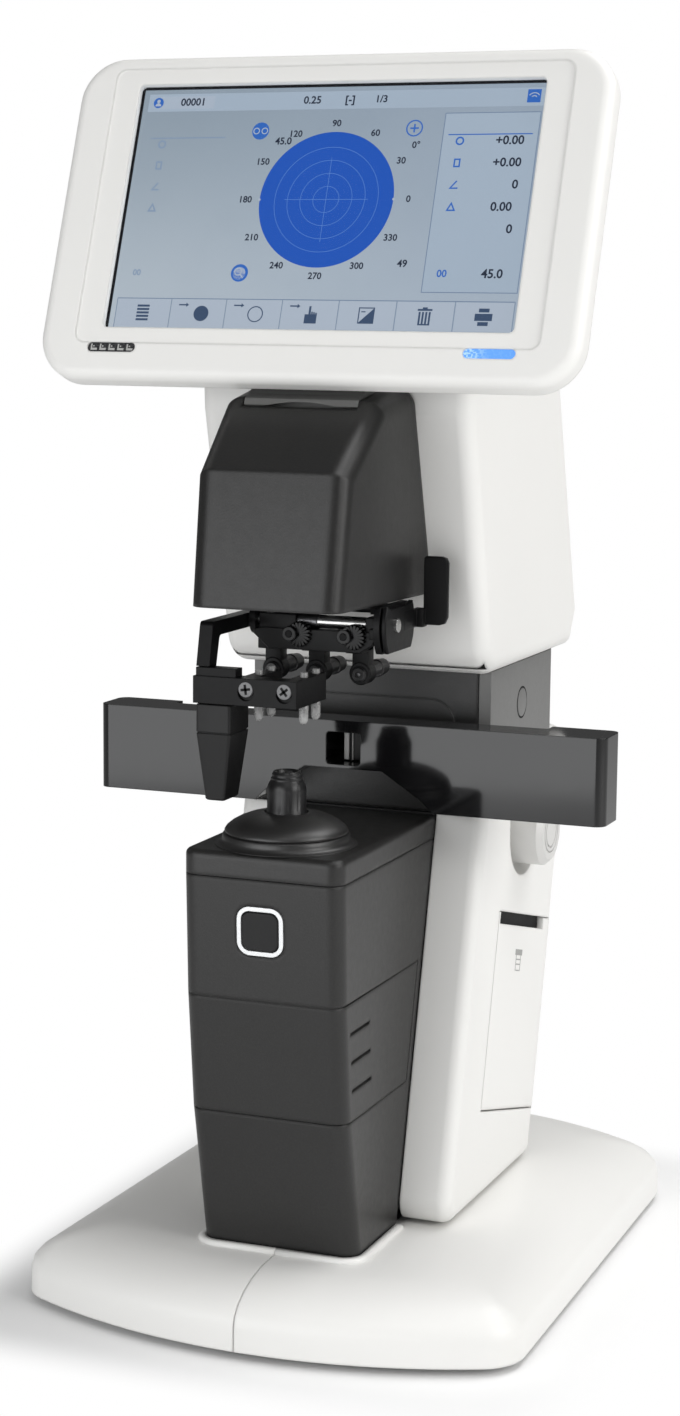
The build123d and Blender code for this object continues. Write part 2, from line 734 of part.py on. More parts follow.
def make_screen():
    middle = Pos(0, 0, -bezel_drop)
    frame = middle * panel(bezel_width, bezel_height, bezel_corner, 0, bezel_depth)
    frame = fillet(frame.faces().sort_by(Axis.Y)[0].edges(), 4.0)
    frame -= panel(screen_width, screen_height, 2.0, -1, bezel_depth + 1)
    frame -= panel(screen_width + 20, screen_height + 12, 4.0, -1, 0.6)
    pocket_depth = glass_depth + glass_thickness + panel_thickness + 1.0
    frame -= panel(screen_width + 6, screen_height + 5, 3.0, glass_depth, pocket_depth + 9)
    frame -= block(-90, 90, glass_depth, bezel_depth + 1, lamp_z - 4.5, lamp_z + 5)
    for x in (lamp_left_x, lamp_right_x):
        frame -= pill(x, lamp_length, lamp_height, -1, bezel_depth)
    pieces["screen_frame"] = screen_place() * frame
    glass = panel(screen_width + 5.4, screen_height + 4.4, 2.6, glass_depth, glass_depth + glass_thickness)
    pieces["touch_glass"] = screen_place() * (Pos(0, seam_gap / 2, 0) * glass)
    panel_front = glass_depth + glass_thickness + seam_gap
    display = panel(screen_width + 4, screen_height + 3, 1.5, panel_front, panel_front + panel_thickness - 1)
    pieces["display_panel"] = screen_place() * display
    board_y = panel_front + panel_thickness - 1 + seam_gap
    board = block(-66, 66, board_y, board_y + board_thickness, -38, 38)
    lamps = []
    for x in (lamp_left_x, lamp_right_x):
        lens = pill(x, lamp_length - seam_gap, lamp_height - seam_gap, 0.4, glass_depth)
        flange = pill(x, lamp_length + 1.6, lamp_height + 1.6, glass_depth, glass_depth + 1.2)
        lamps.append(screen_place() * (lens + flange))
    pieces["lamp_lenses"] = Compound(children=lamps)
    strip_y = glass_depth + 1.2 + seam_gap
    strip = block(-86, 86, strip_y, strip_y + board_thickness, lamp_z - 3.6, lamp_z + 3.6)
    pieces["screen_boards"] = Compound(children=[screen_place() * board, screen_place() * strip])
    rear_plane = Plane(origin=(0, bezel_depth + seam_gap, -bezel_drop), x_dir=(1, 0, 0), z_dir=(0, -1, 0))
    bulge_plane = Plane(origin=(0, bezel_depth + rear_bulge_depth, 0), x_dir=(1, 0, 0), z_dir=(0, -1, 0))

    def rear_form(inset, back):
        wide = rear_plane * RectangleRounded(bezel_width - 2 - 2 * inset, bezel_height - 2 - 2 * inset,
                                             bezel_corner)
        tight = bulge_plane * RectangleRounded(rear_bulge_width - 2 * inset, rear_bulge_height - 2 * inset,
                                               bezel_corner - inset)
        return Pos(0, -back, 0) * loft([wide.faces()[0], tight.faces()[0]])

    rear = rear_form(0.0, 0.0) - rear_form(wall, wall)
    hinge = screen_place().inverse() * Pos(0, hinge_y, hinge_z)
    hy, hz = hinge.position.Y, hinge.position.Z
    for side in (-1, 1):
        x0, x1 = sorted((side * hinge_lug_inner, side * hinge_lug_outer))
        lug = rod_x(hy, hz, hinge_barrel_radius - 0.5, x0, x1)
        lug += block(x0, x1, hy - 8, hy, hz - hinge_barrel_radius + 0.5, hz + 14)
        lug -= rear_form(0.0, 0.0)
        rear += lug
    rear -= rod_x(hy, hz, hinge_pin_radius + running_gap, -30, 30)
    pieces["screen_rear"] = screen_place() * rear


def make_cradle():
    # The grey hinge block under the screen, which stands on the inner frame
    points = [(-76.0, 331.6), (-74.8, 333.8), (-71.0, 335.4), (-69.0, 337.0), (-63.5, 341.0), (-62.5, 343.0),
              (-57, 348.5), (-51.5, 343.0), (-46.8, 340.0), (-46.8, 327.5), (-71.5, 327.5)]
    half = cradle_half_width
    cradle = side_prism(points, -half, half)
    cradle -= rod_x(hinge_y, hinge_z, hinge_pin_radius + running_gap, -half - 1, half + 1)
    for side in (-1, 1):
        x0, x1 = sorted((side * (hinge_lug_inner - slide_gap), side * (hinge_lug_outer + slide_gap)))
        cradle -= block(x0, x1, -66.8, -40, 334.5, 360)
    arch = rod_y(0, 331.6 - 60 + 1.2, 60, -90, -70)
    pieces["hinge_cradle"] = cradle - arch
    pieces["hinge_pin"] = rod_x(hinge_y, hinge_z, hinge_pin_radius, -half + 1, half - 1)


# Inner frame: one upright casting with arms into the head and the column

def make_frame():
    t = frame_half_thickness
    post = side_prism([(-20, floor_z), (38, floor_z), (42, 60), (72, 170), (70, 240), (44, 326), (-40, 326),
                       (-36, 308), (14, 300), (40, 232), (44, 170), (22, 100), (-20, 30)], -t, t)
    head_arm = side_prism([(-40, 326), (-76, 326), (-98, 305), (-98, 290), (-20, 290), (-20, 326)], -t, t)
    column_arm = side_prism([(-99, 110), (40, 110), (40, 118.0), (-99, 118.0)], -t, t)
    foot = block(-26, 26, -24, 40, floor_z, floor_z + 5)
    frame = post + head_arm + column_arm + foot
    frame += block(-20, 20, -71, -47.5, 322, 327.2)
    frame -= rod_z(0, optic_y, barrel_radius + seam_gap, 260, 340)
    frame += turned([(barrel_radius + seam_gap, 292), (barrel_radius + 3, 292), (barrel_radius + 3, 304),
                     (barrel_radius + seam_gap, 304)])
    frame -= block(-17, 17, optic_y - 25, optic_y + 16, 306, 340)
    for x, y, r, z0, z1 in guide_posts():
        frame += rod_z(x, y, r + 2.4, z0, z1)
        low, high = sorted((x, 0))
        frame += block(low, high, y - 3, y + 3, z0, z1)
    for x, y, r, z0, z1 in guide_posts():
        frame -= rod_z(x, y, r + running_gap, 200, 340)
    frame += block(-t, t, 4, 50, rail_z - 6, rail_z + 6)
    for side in (-1, 1):
        low, high = sorted((0, side * rail_x))
        frame += block(low, high, 4, 26, rail_z - 5, rail_z + 5)
        frame += rod_y(side * rail_x, rail_z, rail_radius + 2.5, 4, 26)
    for side in (-1, 1):
        frame -= rod_y(side * rail_x, rail_z, rail_radius + running_gap, -50, 90)
    frame += rod_x(knob_y, knob_z, drive_shaft_radius + 4, -t - 6, t + 6)
    frame += block(-t, t, knob_y - 5, 60, knob_z - 7, knob_z + 7)
    frame -= rod_x(knob_y, knob_z, drive_shaft_radius + running_gap, -60, 60)
    pieces["inner_frame"] = frame


def guide_posts():
    posts = [(presser_rod_x, presser_rod_y, presser_rod_radius, 276, 296)]
    for side in (-1, 1):
        posts.append((side * marker_post_x, marker_post_y, marker_post_radius, 280, 296))
    return posts


def make_lamp_unit():
    low, high = head_bottom_z + 3.0, 306.0
    tube = turned([(lens_radius, low), (barrel_radius, low), (barrel_radius, high), (lens_radius, high)])
    pieces["lamp_tube"] = tube
    lenses.append(turned([(0, low + 2), (lens_radius - running_gap, low + 3.2),
                          (lens_radius - running_gap, low + 6.0), (0, low + 7.0)]))
    boards.append(block(-15, 15, optic_y - 12, optic_y + 14, high + seam_gap,
                        high + seam_gap + board_thickness))


# Lens table with its rails, rack and hand knob

def make_table():
    half = table_length / 2
    rear = table_front_y + table_thickness
    bar = block(-half, half, table_front_y, rear, table_bottom_z, table_top_z)
    bar = fillet(bar.edges().filter_by(Axis.Z), table_corner_radius)
    inner = half - table_notch_length
    bar -= block(-inner, inner, rear - table_notch_depth, rear + 1, table_top_z - 2.5, table_top_z + 1)
    arch_top = table_bottom_z + arch_height
    arch = front_prism([(-arch_half_base, table_bottom_z - 1), (-arch_half_base, table_bottom_z + 0.6),
                        (4 - arch_half_base, table_bottom_z + 4.5), (-arch_half_top, arch_top),
                        (arch_half_top, arch_top), (arch_half_base - 4, table_bottom_z + 4.5),
                        (arch_half_base, table_bottom_z + 0.6), (arch_half_base, table_bottom_z - 1)],
                       table_front_y - 1, rear + 1)
    slot = block(-slot_half_width, slot_half_width, table_front_y - 1, rear + 1, arch_top + slot_sill,
                 slot_top_z)
    slot = fillet(slot.edges().filter_by(Axis.Y), 1.5)
    bar = bar - arch - slot
    for side in (-1, 1):
        bar -= rod_y(side * rail_x, rail_z, rail_radius, rear - 12, rear + 1)
    pieces["lens_table"] = bar
    rails = [rod_y(side * rail_x, rail_z, rail_radius, rear - 12, rail_rear_y) for side in (-1, 1)]
    rack_z = knob_z + drive_radius + slide_gap
    # Starts just ahead of the pinion, so that it stays behind the neck's apron when the table is out
    rack = block(14, 20, knob_y - rack_lead, rail_rear_y + 4, rack_z, rack_z + rack_height)
    rack += block(14, 20, rail_rear_y, rail_rear_y + 4, rack_z, rail_z + 5)
    rack += block(14, rail_x + rail_radius, rail_rear_y, rail_rear_y + 4, rail_z - 5, rail_z + 5)
    pieces["table_rails"] = Compound(children=[rails[0], rails[1] + rack])
    pinion = rod_x(knob_y, knob_z, drive_radius, 14.4, 19.6)
    for step in range(18):
        tooth = Rot(20 * step, 0, 0) * rod_x(0, drive_radius, 0.9, 14, 20)
        pinion -= Pos(0, knob_y, knob_z) * tooth
    shaft = rod_x(knob_y, knob_z, drive_shaft_radius, -frame_half_thickness - 12, pocket_floor_x + 8)
    pieces["drive_shaft"] = shaft + pinion
    knob = rod_x(knob_y, knob_z, knob_radius, pocket_floor_x + slide_gap + 0.6, knob_outer_x)
    knob = chamfer(knob.faces().sort_by(Axis.X)[-1].edges(), 2.2)
    knob -= rod_x(knob_y, knob_z, drive_shaft_radius + running_gap / 5, 0, pocket_floor_x + 8.2)
    for radius in (8.6, 6.6):
        groove = rod_x(knob_y, knob_z, radius, knob_outer_x - 0.5, knob_outer_x + 1)
        groove -= rod_x(knob_y, knob_z, radius - 0.6, knob_outer_x - 1, knob_outer_x + 1)
        knob -= groove
    pieces["table_knob"] = knob


# Lens presser

def make_presser():
    rear = presser_front_y + presser_bar_depth
    bar = block(presser_left_x, presser_right_x, presser_front_y, rear, presser_bottom_z, presser_top_z)
    for side in (-1, 1):
        x0, x1 = sorted((side * prong_inner, side * presser_right_x))
        bar += block(x0, x1, rear - 1, prong_rear_y, presser_bottom_z, presser_top_z)
    bar += block(presser_left_x + 0.8, presser_left_x + 16, presser_front_y + 0.8, rear - 1, presser_top_z,
                 presser_top_z + 3)
    for x, y in pin_places():
        bar -= rod_z(x, y, pin_radius + running_gap, 200, 300)
    screw_x = presser_screw_places()
    for x in screw_x:
        bar -= rod_y(x, presser_screw_z(), 3.0, presser_front_y - 1, presser_front_y + 1.2)
        bar -= rod_y(x, presser_screw_z(), 1.5, presser_front_y, rear - 1)
    pieces["presser_block"] = bar
    screws = []
    for x in screw_x:
        head = rod_y(x, presser_screw_z(), 2.8, presser_front_y - 0.3, presser_front_y + 1.1)
        for turn in (45, 135):
            cross = Rot(0, turn, 0) * block(-1.8, 1.8, -1, 0.7, -0.4, 0.4)
            head -= Pos(x, presser_front_y - 0.3, presser_screw_z()) * cross
        screws.append(head + rod_y(x, presser_screw_z(), 1.45, presser_front_y + 1, rear - 1.2))
    pieces["presser_screws"] = Compound(children=screws)
    x0, x1 = presser_left_x + 0.6, presser_left_x + 0.6 + arm_thickness
    top, low = arm_top_z, arm_top_z - arm_height
    arm = side_prism([(-100.2, top), (-104.2, presser_top_z + seam_gap), (-98.2, presser_top_z + seam_gap),
                      (-94.6, low), (presser_rod_y - 6, low), (presser_rod_y - 6, top)], x0, x1)
    arm = fillet([e for e in arm.edges() if abs(e.tangent_at(0.5).X) > 0.9 and e.center().Z > low - 1
                  and e.center().Y < -90], 1.8)
    arm -= block(presser_left_x, x1 + 1, presser_front_y, rear - 0.6, 200, presser_top_z + 3.3)
    arm += block(x0, presser_rod_x + 4, presser_rod_y - 6, presser_rod_y + 5, low, top)
    pieces["presser_arm"] = arm + rod_z(presser_rod_x, presser_rod_y, presser_rod_radius, top - 1, 304)
    gx0, gy0 = presser_left_x + 0.8, presser_front_y + 0.4
    gx1, gy1 = gx0 + grip_width, gy0 + grip_depth
    knee = presser_bottom_z - 10.2
    top_face = Pos(0, 0, presser_bottom_z - seam_gap) * rect_face(gx0, gx1, gy0, gy1)
    mid_face = Pos(0, 0, knee) * rect_face(gx0, gx1, gy0, gy1)
    low_face = Pos(0, 0, grip_bottom_z) * rect_face(gx0 + 2.4, gx1 - 3.2, gy0 + 1, gy1 - 1)
    grip = loft([top_face, mid_face], ruled=True) + loft([mid_face, low_face], ruled=True)
    grip = fillet([e for e in grip.edges() if e.bounding_box().size.Z > 5], 1.0)
    # A hollow down its back lets the left-hand pen swing past
    grip -= rod_z(-pen_pitch, optic_y, pen_body_radius + 0.5, 100, 300)
    pieces["presser_grip"] = grip
    for number, (x, y) in enumerate(pin_places(), 1):
        pin = rod_z(x, y, pin_radius, pin_tip_z + pin_radius, pin_top_z)
        pin += Pos(x, y, pin_tip_z + pin_radius) * Sphere(pin_radius)
        pieces[f"lens_pin_{number}"] = pin


def rect_face(x0, x1, y0, y1):
    return Pos((x0 + x1) / 2, (y0 + y1) / 2) * Rectangle(x1 - x0, y1 - y0)


def pin_places():
    return [(sx * pin_spacing_x / 2, optic_y + sy * pin_spacing_y / 2) for sy in (-1, 1) for sx in (-1, 1)]


def presser_screw_places():
    return (-7.9, 6.6)


def presser_screw_z():
    return (presser_bottom_z + presser_top_z) / 2


# Marker: carriage, turning frame with three pens, and its hand paddle

def make_marker():
    left, right = marker_left_x, marker_right_x
    t = cheek_thickness
    low = marker_z + marker_shaft_radius + 1.6
    top = head_bottom_z - 0.9
    # Carriage: a plate with an ear and a cheek, hung on two posts that slide in the head
    carriage = block(left, right, marker_y - 4, marker_y + 6, low, top)
    carriage += block(-marker_post_x - 4, marker_post_x + 4, marker_y, marker_post_y + 4, low, top)
    cheek = rod_x(marker_y + cheek_offset, marker_z, cheek_radius, right - t, right)
    carriage += cheek & block(right - t, right, -200, 200, marker_z - cheek_low, top)
    carriage += rod_x(marker_y, marker_z, marker_shaft_radius + 3.1, left, left + t)
    carriage += block(left, left + t, marker_y - 4, marker_y + 4, marker_z, top)
    for side in (-1, 1):
        carriage += rod_z(side * marker_post_x, marker_post_y, marker_post_radius, low + 1, 304)
    carriage -= rod_x(marker_y, marker_z, marker_shaft_radius + running_gap, -60, 60)
    pieces["marker_carriage"] = carriage
    pieces["marker_shaft"] = rod_x(marker_y, marker_z, marker_shaft_radius, left - 0.8, right + t + 1.2)
    # Bracket: hubs on the shaft, a cross bar and three arms that hold the pens
    web_top = marker_z - marker_shaft_radius - 2.8
    bracket = block(left + t + slide_gap, right - t - slide_gap, marker_y - 1.5, marker_y + 1.5, web_top - 7,
                    web_top)
    for x in (-10.5, 14.5):
        bracket += rod_x(marker_y, marker_z, marker_shaft_radius + 1.1, x - 3, x + 3)
        bracket += block(x - 3, x + 3, marker_y - 2, marker_y + 2, web_top - 1, marker_z)
    axis_z = marker_z - pen_drop
    for step in (-1, 0, 1):
        x = step * pen_pitch
        bracket += block(x - 3.2, x + 3.2, marker_y - 1.5, pen_front_y + 8, web_top - 6.5, web_top - 3.5)
        bracket += block(x - 3.2, x + 3.2, pen_front_y + 2, pen_front_y + 8, axis_z, web_top - 3.5)
        bracket += rod_y(x, axis_z, pen_radius + 1.4, pen_front_y + 2, pen_front_y + 8)
    for step in (-1, 0, 1):
        bracket -= rod_y(step * pen_pitch, axis_z, pen_radius + running_gap, -99, 0)
    bracket -= rod_x(marker_y, marker_z, marker_shaft_radius + 0.01, -60, 60)
    pieces["marker_bracket"] = bracket
    pens = []
    for step in (-1, 0, 1):
        x = step * pen_pitch
        pen = rod_y(x, axis_z, pen_radius, pen_front_y, pen_front_y + 10)
        pen += rod_y(x, axis_z, pen_body_radius, pen_front_y + 8.5, pen_front_y + pen_length - 4)
        pen += rod_y(x, axis_z, 1.0, pen_front_y + pen_length - 4, pen_front_y + pen_length)
        pen -= rod_y(x, axis_z, 1.3, pen_front_y - 1, pen_front_y + 1)
        pens.append(pen)
    pieces["marker_pens"] = Compound(children=pens)
    # Lever: a disc over the cheek, an arm to the rear and the paddle that the thumb presses
    x0 = right + 2 * seam_gap
    x1 = x0 + lever_thickness
    paddle_rear = paddle_y + paddle_thickness
    lever = rod_x(marker_y + cheek_offset, marker_z, cheek_radius, x0, x1)
    lever &= block(x0, x1, -200, 200, marker_z - cheek_low, head_bottom_z - 1.4)
    lever += block(x0, x1, marker_y, paddle_rear, marker_z - 3, marker_z + 4)
    lever += block(x0, x0 + paddle_offset + 1, paddle_y - 2, paddle_rear, marker_z - 3, marker_z + 4)
    paddle = block(x0 + paddle_offset, paddle_outer_x, paddle_y, paddle_rear, paddle_bottom_z, paddle_top_z)
    paddle = fillet([e for e in paddle.edges().filter_by(Axis.Y) if e.center().X > 40], 3.0)
    lever += paddle
    lever -= rod_x(marker_y, marker_z, marker_shaft_radius + 0.01, -60, 60)
    pieces["marker_lever"] = lever


# Printer in the right flank

def make_printer():
    half_l, half_h = door_length / 2 - slide_gap, door_height / 2 - slide_gap
    door = printer_block(-door_thickness, 0, -half_l, half_l, -half_h, half_h)
    # The paper comes out through a notch in its upper edge
    slot_half = paper_slot_length / 2
    door -= printer_block(-9, 1, paper_slot_shift - slot_half, paper_slot_shift + slot_half,
                          half_h - paper_slot_height, half_h + 1)
    # Its lower edge is round and turns on a stub at each end
    door -= printer_block(-9, 1, -half_l - 1, half_l + 1, -half_h - 1, door_thickness / 2 - half_h)
    door += printer_place() * rod_y(-door_thickness / 2, door_thickness / 2 - half_h, door_thickness / 2,
                                    -half_l, half_l)
    stub_reach = half_l + 1.6
    door += printer_place() * rod_y(-door_thickness / 2, door_thickness / 2 - half_h, stub_radius,
                                    -stub_reach,
                                    stub_reach)
    pieces["printer_door"] = door
    deep = -printer_depth
    tray = printer_block(deep, -door_thickness - 1.6, -30.6, 30.6, -30, 36)
    tray -= printer_block(deep + 1.6, 9, -29, 29, -28.4, 34.4)
    tray += printer_block(deep + 1, deep + 14, -29, 29, 27, 31)
    seat = frame_half_thickness + seam_gap - body_half_width
    tray += printer_block(seat, deep + 1, -8, 10, -10, 10)
    spindle_x, spindle_up = roll_place()
    for side in (-1, 1):
        reach = sorted((side * 24, side * 29.5))
        tray += printer_place() * rod_y(spindle_x, spindle_up, spindle_radius - running_gap, *reach)
    tray -= printer_place() * rod_y(-12, 22, platen_axle_radius + running_gap, -40, 40)
    pieces["printer_tray"] = tray
    roll = printer_place() * rod_y(spindle_x, spindle_up, paper_roll_radius, -paper_width / 2,
                                   paper_width / 2)
    roll -= printer_place() * rod_y(spindle_x, spindle_up, spindle_radius, -60, 60)
    pieces["paper_roll"] = roll
    platen = printer_place() * rod_y(-12, 22, platen_radius, -27.5, 27.5)
    platen += printer_place() * rod_y(-12, 22, platen_axle_radius, -30.4, 30.4)
    pieces["platen_roller"] = platen
    head = printer_block(-26, -17.4, -24, 24, 18, 26)
    pieces["print_head"] = head + printer_block(-30, -24, -24, 24, 18, 27)


def roll_place():
    return -printer_depth + paper_roll_radius + 2.4, -9.0


# Electronics and rear sockets

def rear_place():
    # The leaning rear wall's outer surface, at the height of the sockets
    return Pos(0, body_rear_at(socket_z), socket_z) * Rot(-body_lean, 0, 0)


def make_electrics():
    half_w, half_h = socket_plate_width / 2 - slide_gap, socket_plate_height / 2 - slide_gap
    plate = rear_place() * block(socket_plate_x - half_w, socket_plate_x + half_w, -1.6, 0, -half_h, half_h)
    inlet = (-22, inlet_width, inlet_height)
    rocker = (0, rocker_width, rocker_height)
    port = (14, 11.0, 12.0)
    for x, w, h in (inlet, rocker, port):
        plate -= rear_place() * block(x - w / 2, x + w / 2, -9, 9, -h / 2, h / 2)
    pieces["socket_plate"] = plate
    body = block(inlet[0] - 13.2, inlet[0] + 13.2, -16, 1.2, -9.7, 9.7)
    body -= block(inlet[0] - 11.2, inlet[0] + 11.2, -13, 2, -7.4, 7.4)
    for x, z in ((-7, -1.8), (0, 2.2), (7, -1.8)):
        body += block(inlet[0] + x - 1, inlet[0] + x + 1, -14, -2, z - 2, z + 2)
    switch_body = block(rocker[0] - 6.0, rocker[0] + 6.0, -14, 0.8, -9.2, 9.2)
    switch_body -= block(rocker[0] - 4.7, rocker[0] + 4.7, -6, 2, -7.6, 7.6)
    rock = rod_x(0, 0, 3.0, rocker[0] - 4.3, rocker[0] + 4.3)
    rock += block(rocker[0] - 4.3, rocker[0] + 4.3, 0, 3.4, -6.4, 6.4)
    pieces["switch_rocker"] = rear_place() * Pos(0, -2, 0) * Rot(rocker_tilt, 0, 0) * rock
    ports = block(port[0] - 5.2, port[0] + 5.2, -8, 0.4, -5.7, 5.7)
    ports -= block(port[0] - 4.0, port[0] + 4.0, -6.5, 1, -4.4, 4.4)
    sockets = [rear_place() * one for one in (body, switch_body, ports)]
    pieces["rear_sockets"] = Compound(children=sockets)
    supply_z = body_foot_z + wall + seam_gap
    supply = block(-44, -frame_half_thickness - seam_gap, -20, 34, supply_z, supply_z + 26)
    pieces["power_supply"] = supply
    board = block(-26 - board_thickness, -26, 0, 50, 88, 158)
    for y, z in ((28, 96), (45, 150)):
        board += rod_x(y, z, 2.5, -26, -frame_half_thickness - seam_gap)
    for y, z, w, h in ((14, 112, 14, 14), (36, 126, 18, 10), (18, 140, 10, 12)):
        board += block(-26 - board_thickness - 3, -26 - board_thickness, y - w / 2, y + w / 2, z - h / 2,
                       z + h / 2)
    boards.append(board)


make_base()
make_body()
make_column()
make_lens_rest()
make_neck()
make_housing()
make_head()
make_screen()
make_cradle()
make_frame()
make_lamp_unit()
make_table()
make_presser()
make_marker()
make_printer()
make_electrics()
pieces["circuit_boards"] = Compound(children=boards)
pieces["optic_lenses"] = Compound(children=lenses)

os.makedirs("parts", exist_ok=True)
for name, piece in pieces.items():
    export_step(piece, f"parts/{name}.step")
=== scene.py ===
import bmesh
import bpy
from math import acos, asin, cos, degrees, hypot, pi, radians, sin
from mathutils import Matrix, Vector


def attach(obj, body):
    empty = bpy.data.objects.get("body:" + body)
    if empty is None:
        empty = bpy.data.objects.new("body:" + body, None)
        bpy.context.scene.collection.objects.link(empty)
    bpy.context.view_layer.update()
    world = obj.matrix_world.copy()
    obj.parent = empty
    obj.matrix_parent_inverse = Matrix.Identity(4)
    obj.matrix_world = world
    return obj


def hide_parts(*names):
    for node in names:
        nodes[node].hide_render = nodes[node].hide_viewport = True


# Lens meter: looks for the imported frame. Metres, +Z up, -Y towards the user.
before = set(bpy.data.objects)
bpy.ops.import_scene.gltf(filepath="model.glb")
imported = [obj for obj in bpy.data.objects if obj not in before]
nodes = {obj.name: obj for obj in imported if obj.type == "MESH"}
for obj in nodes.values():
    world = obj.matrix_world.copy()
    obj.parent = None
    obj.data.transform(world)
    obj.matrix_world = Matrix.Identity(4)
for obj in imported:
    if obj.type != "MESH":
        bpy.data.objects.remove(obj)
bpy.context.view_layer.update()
mm = 0.001
turn = 2 * pi
print("frame loaded with", len(nodes), "nodes")


class Wire:
    # one socket in a shader tree, so that plain sums on it add Math nodes
    def __init__(self, finish, socket):
        self.finish = finish
        self.socket = socket

    def maths(self, operation, first, second):
        return self.finish.node("ShaderNodeMath", {"operation": operation}, {0: first, 1: second})

    def __add__(self, other):
        return self.maths("ADD", self, other)

    def __radd__(self, other):
        return self.maths("ADD", other, self)

    def __sub__(self, other):
        return self.maths("SUBTRACT", self, other)

    def __rsub__(self, other):
        return self.maths("SUBTRACT", other, self)

    def __mul__(self, other):
        return self.maths("MULTIPLY", self, other)

    def above(self, limit):
        return self.maths("GREATER_THAN", self, limit)

    def atLeast(self, limit):
        return self.maths("MAXIMUM", self, limit)

    def power(self, exponent):
        return self.maths("POWER", self, exponent)

    def absolute(self):
        return self.finish.node("ShaderNodeMath", {"operation": "ABSOLUTE"}, {0: self})


class Finish:
    # a material being built round one Principled shader
    def __init__(self, name, **sockets):
        self.material = bpy.data.materials.new(name)
        self.material.use_nodes = True
        self.tree = self.material.node_tree
        self.tree.nodes.clear()
        self.output = self.tree.nodes.new("ShaderNodeOutputMaterial")
        self.shader = self.tree.nodes.new("ShaderNodeBsdfPrincipled")
        self.tree.links.new(self.shader.outputs[0], self.output.inputs["Surface"])
        self.place = self.node("ShaderNodeTexCoord", out="Object")
        self.paint(**sockets)

    def node(self, kind, settings=None, values=None, out=0):
        made = self.tree.nodes.new(kind)
        for key, value in (settings or {}).items():
            setattr(made, key, value)
        for key, value in (values or {}).items():
            self.feed(made.inputs[key], value)
        return Wire(self, made.outputs[out])

    def feed(self, socket, value):
        if isinstance(value, Wire):
            self.tree.links.new(value.socket, socket)
        elif hasattr(value, "__len__") and len(value) == 3 and socket.type == "RGBA":
            socket.default_value = (*value, 1)
        else:
            socket.default_value = value

    def paint(self, **sockets):
        names = {"colour": "Base Color", "glow": "Emission Color", "glowStrength": "Emission Strength",
                 "specular": "Specular IOR Level"}
        for key, value in sockets.items():
            self.feed(self.shader.inputs[names.get(key, key.capitalize())], value)

    def noise(self, scale, detail=2, stretch=None, seed=0):
        place = self.place
        if stretch or seed:
            place = self.node("ShaderNodeMapping", None, {
                "Vector": place, "Location": (seed, seed, seed), "Scale": stretch or (1, 1, 1)})
        return self.node("ShaderNodeTexNoise", None,
                         {"Vector": place, "Scale": scale, "Detail": detail, "Roughness": 0.55})

    def blend(self, factor, first, second):
        return self.node("ShaderNodeMix", {"data_type": "RGBA"}, {0: factor, 6: first, 7: second}, out=2)

    def fade(self, value, low, high, first=0, last=1):
        return self.node("ShaderNodeMapRange", {"interpolation_type": "SMOOTHSTEP"},
                         {"Value": value, "From Min": low, "From Max": high, "To Min": first, "To Max": last})

    def axis(self, letter):
        return self.node("ShaderNodeSeparateXYZ", None, {0: self.place}, out=letter)

    def bump(self, height, depth, over=None):
        values = {"Height": height, "Distance": depth, "Strength": 1}
        if over:
            values["Normal"] = over
        return self.node("ShaderNodeBump", None, values)

    def edge(self, radius):
        return self.node("ShaderNodeBevel", {"samples": 4}, {"Radius": radius})

    def pixels(self):
        return self.node("ShaderNodeTexChecker", None, {
            "Vector": self.place, "Scale": 3400, "Color1": (1, 1, 1), "Color2": (0, 0, 0)}, out="Fac")


def shade(tone, factor):
    return tuple(min(1, c * factor) for c in tone)


def moulded(name, colour, grainScale, grainDepth, roughness, spread, fleck, edge, roughSpread, specular):
    # moulded plastic: a fine spark-eroded grain, slow shade drift, and soft edges
    finish = Finish(name, specular=specular)
    drift = finish.noise(9, 3)
    grain = finish.noise(grainScale, 2)
    mottle = finish.noise(grainScale * 0.22, 3, seed=3)
    tone = finish.blend(drift, shade(colour, 1 - spread), shade(colour, 1 + spread))
    tone = finish.blend(finish.fade(grain, 0.35, 0.75, 0, fleck), tone, shade(colour, 1.9))
    rough = roughness + (mottle - 0.5) * roughSpread + (drift - 0.5) * 0.05
    relief = finish.bump(grain * 0.7 + mottle * 0.3, grainDepth * mm, over=finish.edge(edge * mm))
    finish.paint(colour=tone, roughness=rough, normal=relief)
    return finish.material


def metal(name, colour, streakScale, stretch, roughness, depth):
    # drawn or machined metal: streaks along one axis, faint stains
    finish = Finish(name, metallic=1)
    streaks = finish.noise(streakScale, 3, stretch=stretch)
    stains = finish.noise(45, 4, seed=2)
    tone = finish.blend(streaks, shade(colour, 0.82), shade(colour, 1.12))
    tone = finish.blend(finish.fade(stains, 0.5, 0.8, 0, 0.25), tone, shade(colour, 0.7))
    rough = roughness + (streaks - 0.5) * 0.14 + (stains - 0.5) * 0.12
    relief = finish.bump(streaks, depth * mm, over=finish.edge(0.3 * mm))
    finish.paint(colour=tone, roughness=rough, normal=relief)
    return finish.material


def boardFinish():
    # solder mask over raised tracks, with bare pads
    finish = Finish("boardGreen", metallic=0)
    tracks = finish.node("ShaderNodeTexBrick", None, {
        "Vector": finish.place, "Scale": 130, "Mortar Size": 0.018, "Color1": (0, 0, 0), "Color2": (0, 0, 0),
        "Mortar": (1, 1, 1)})
    pads = finish.node("ShaderNodeTexVoronoi", None, {"Vector": finish.place, "Scale": 260})
    pad = 1 - finish.fade(pads, 0.16, 0.2)
    tone = finish.blend(tracks * 0.6, (0.012, 0.085, 0.035), (0.02, 0.16, 0.06))
    tone = finish.blend(pad, tone, (0.62, 0.5, 0.26))
    finish.paint(colour=tone, metallic=pad * 0.9, roughness=0.42 - pad * 0.14,
                 normal=finish.bump(tracks + pad, 0.05 * mm))
    return finish.material


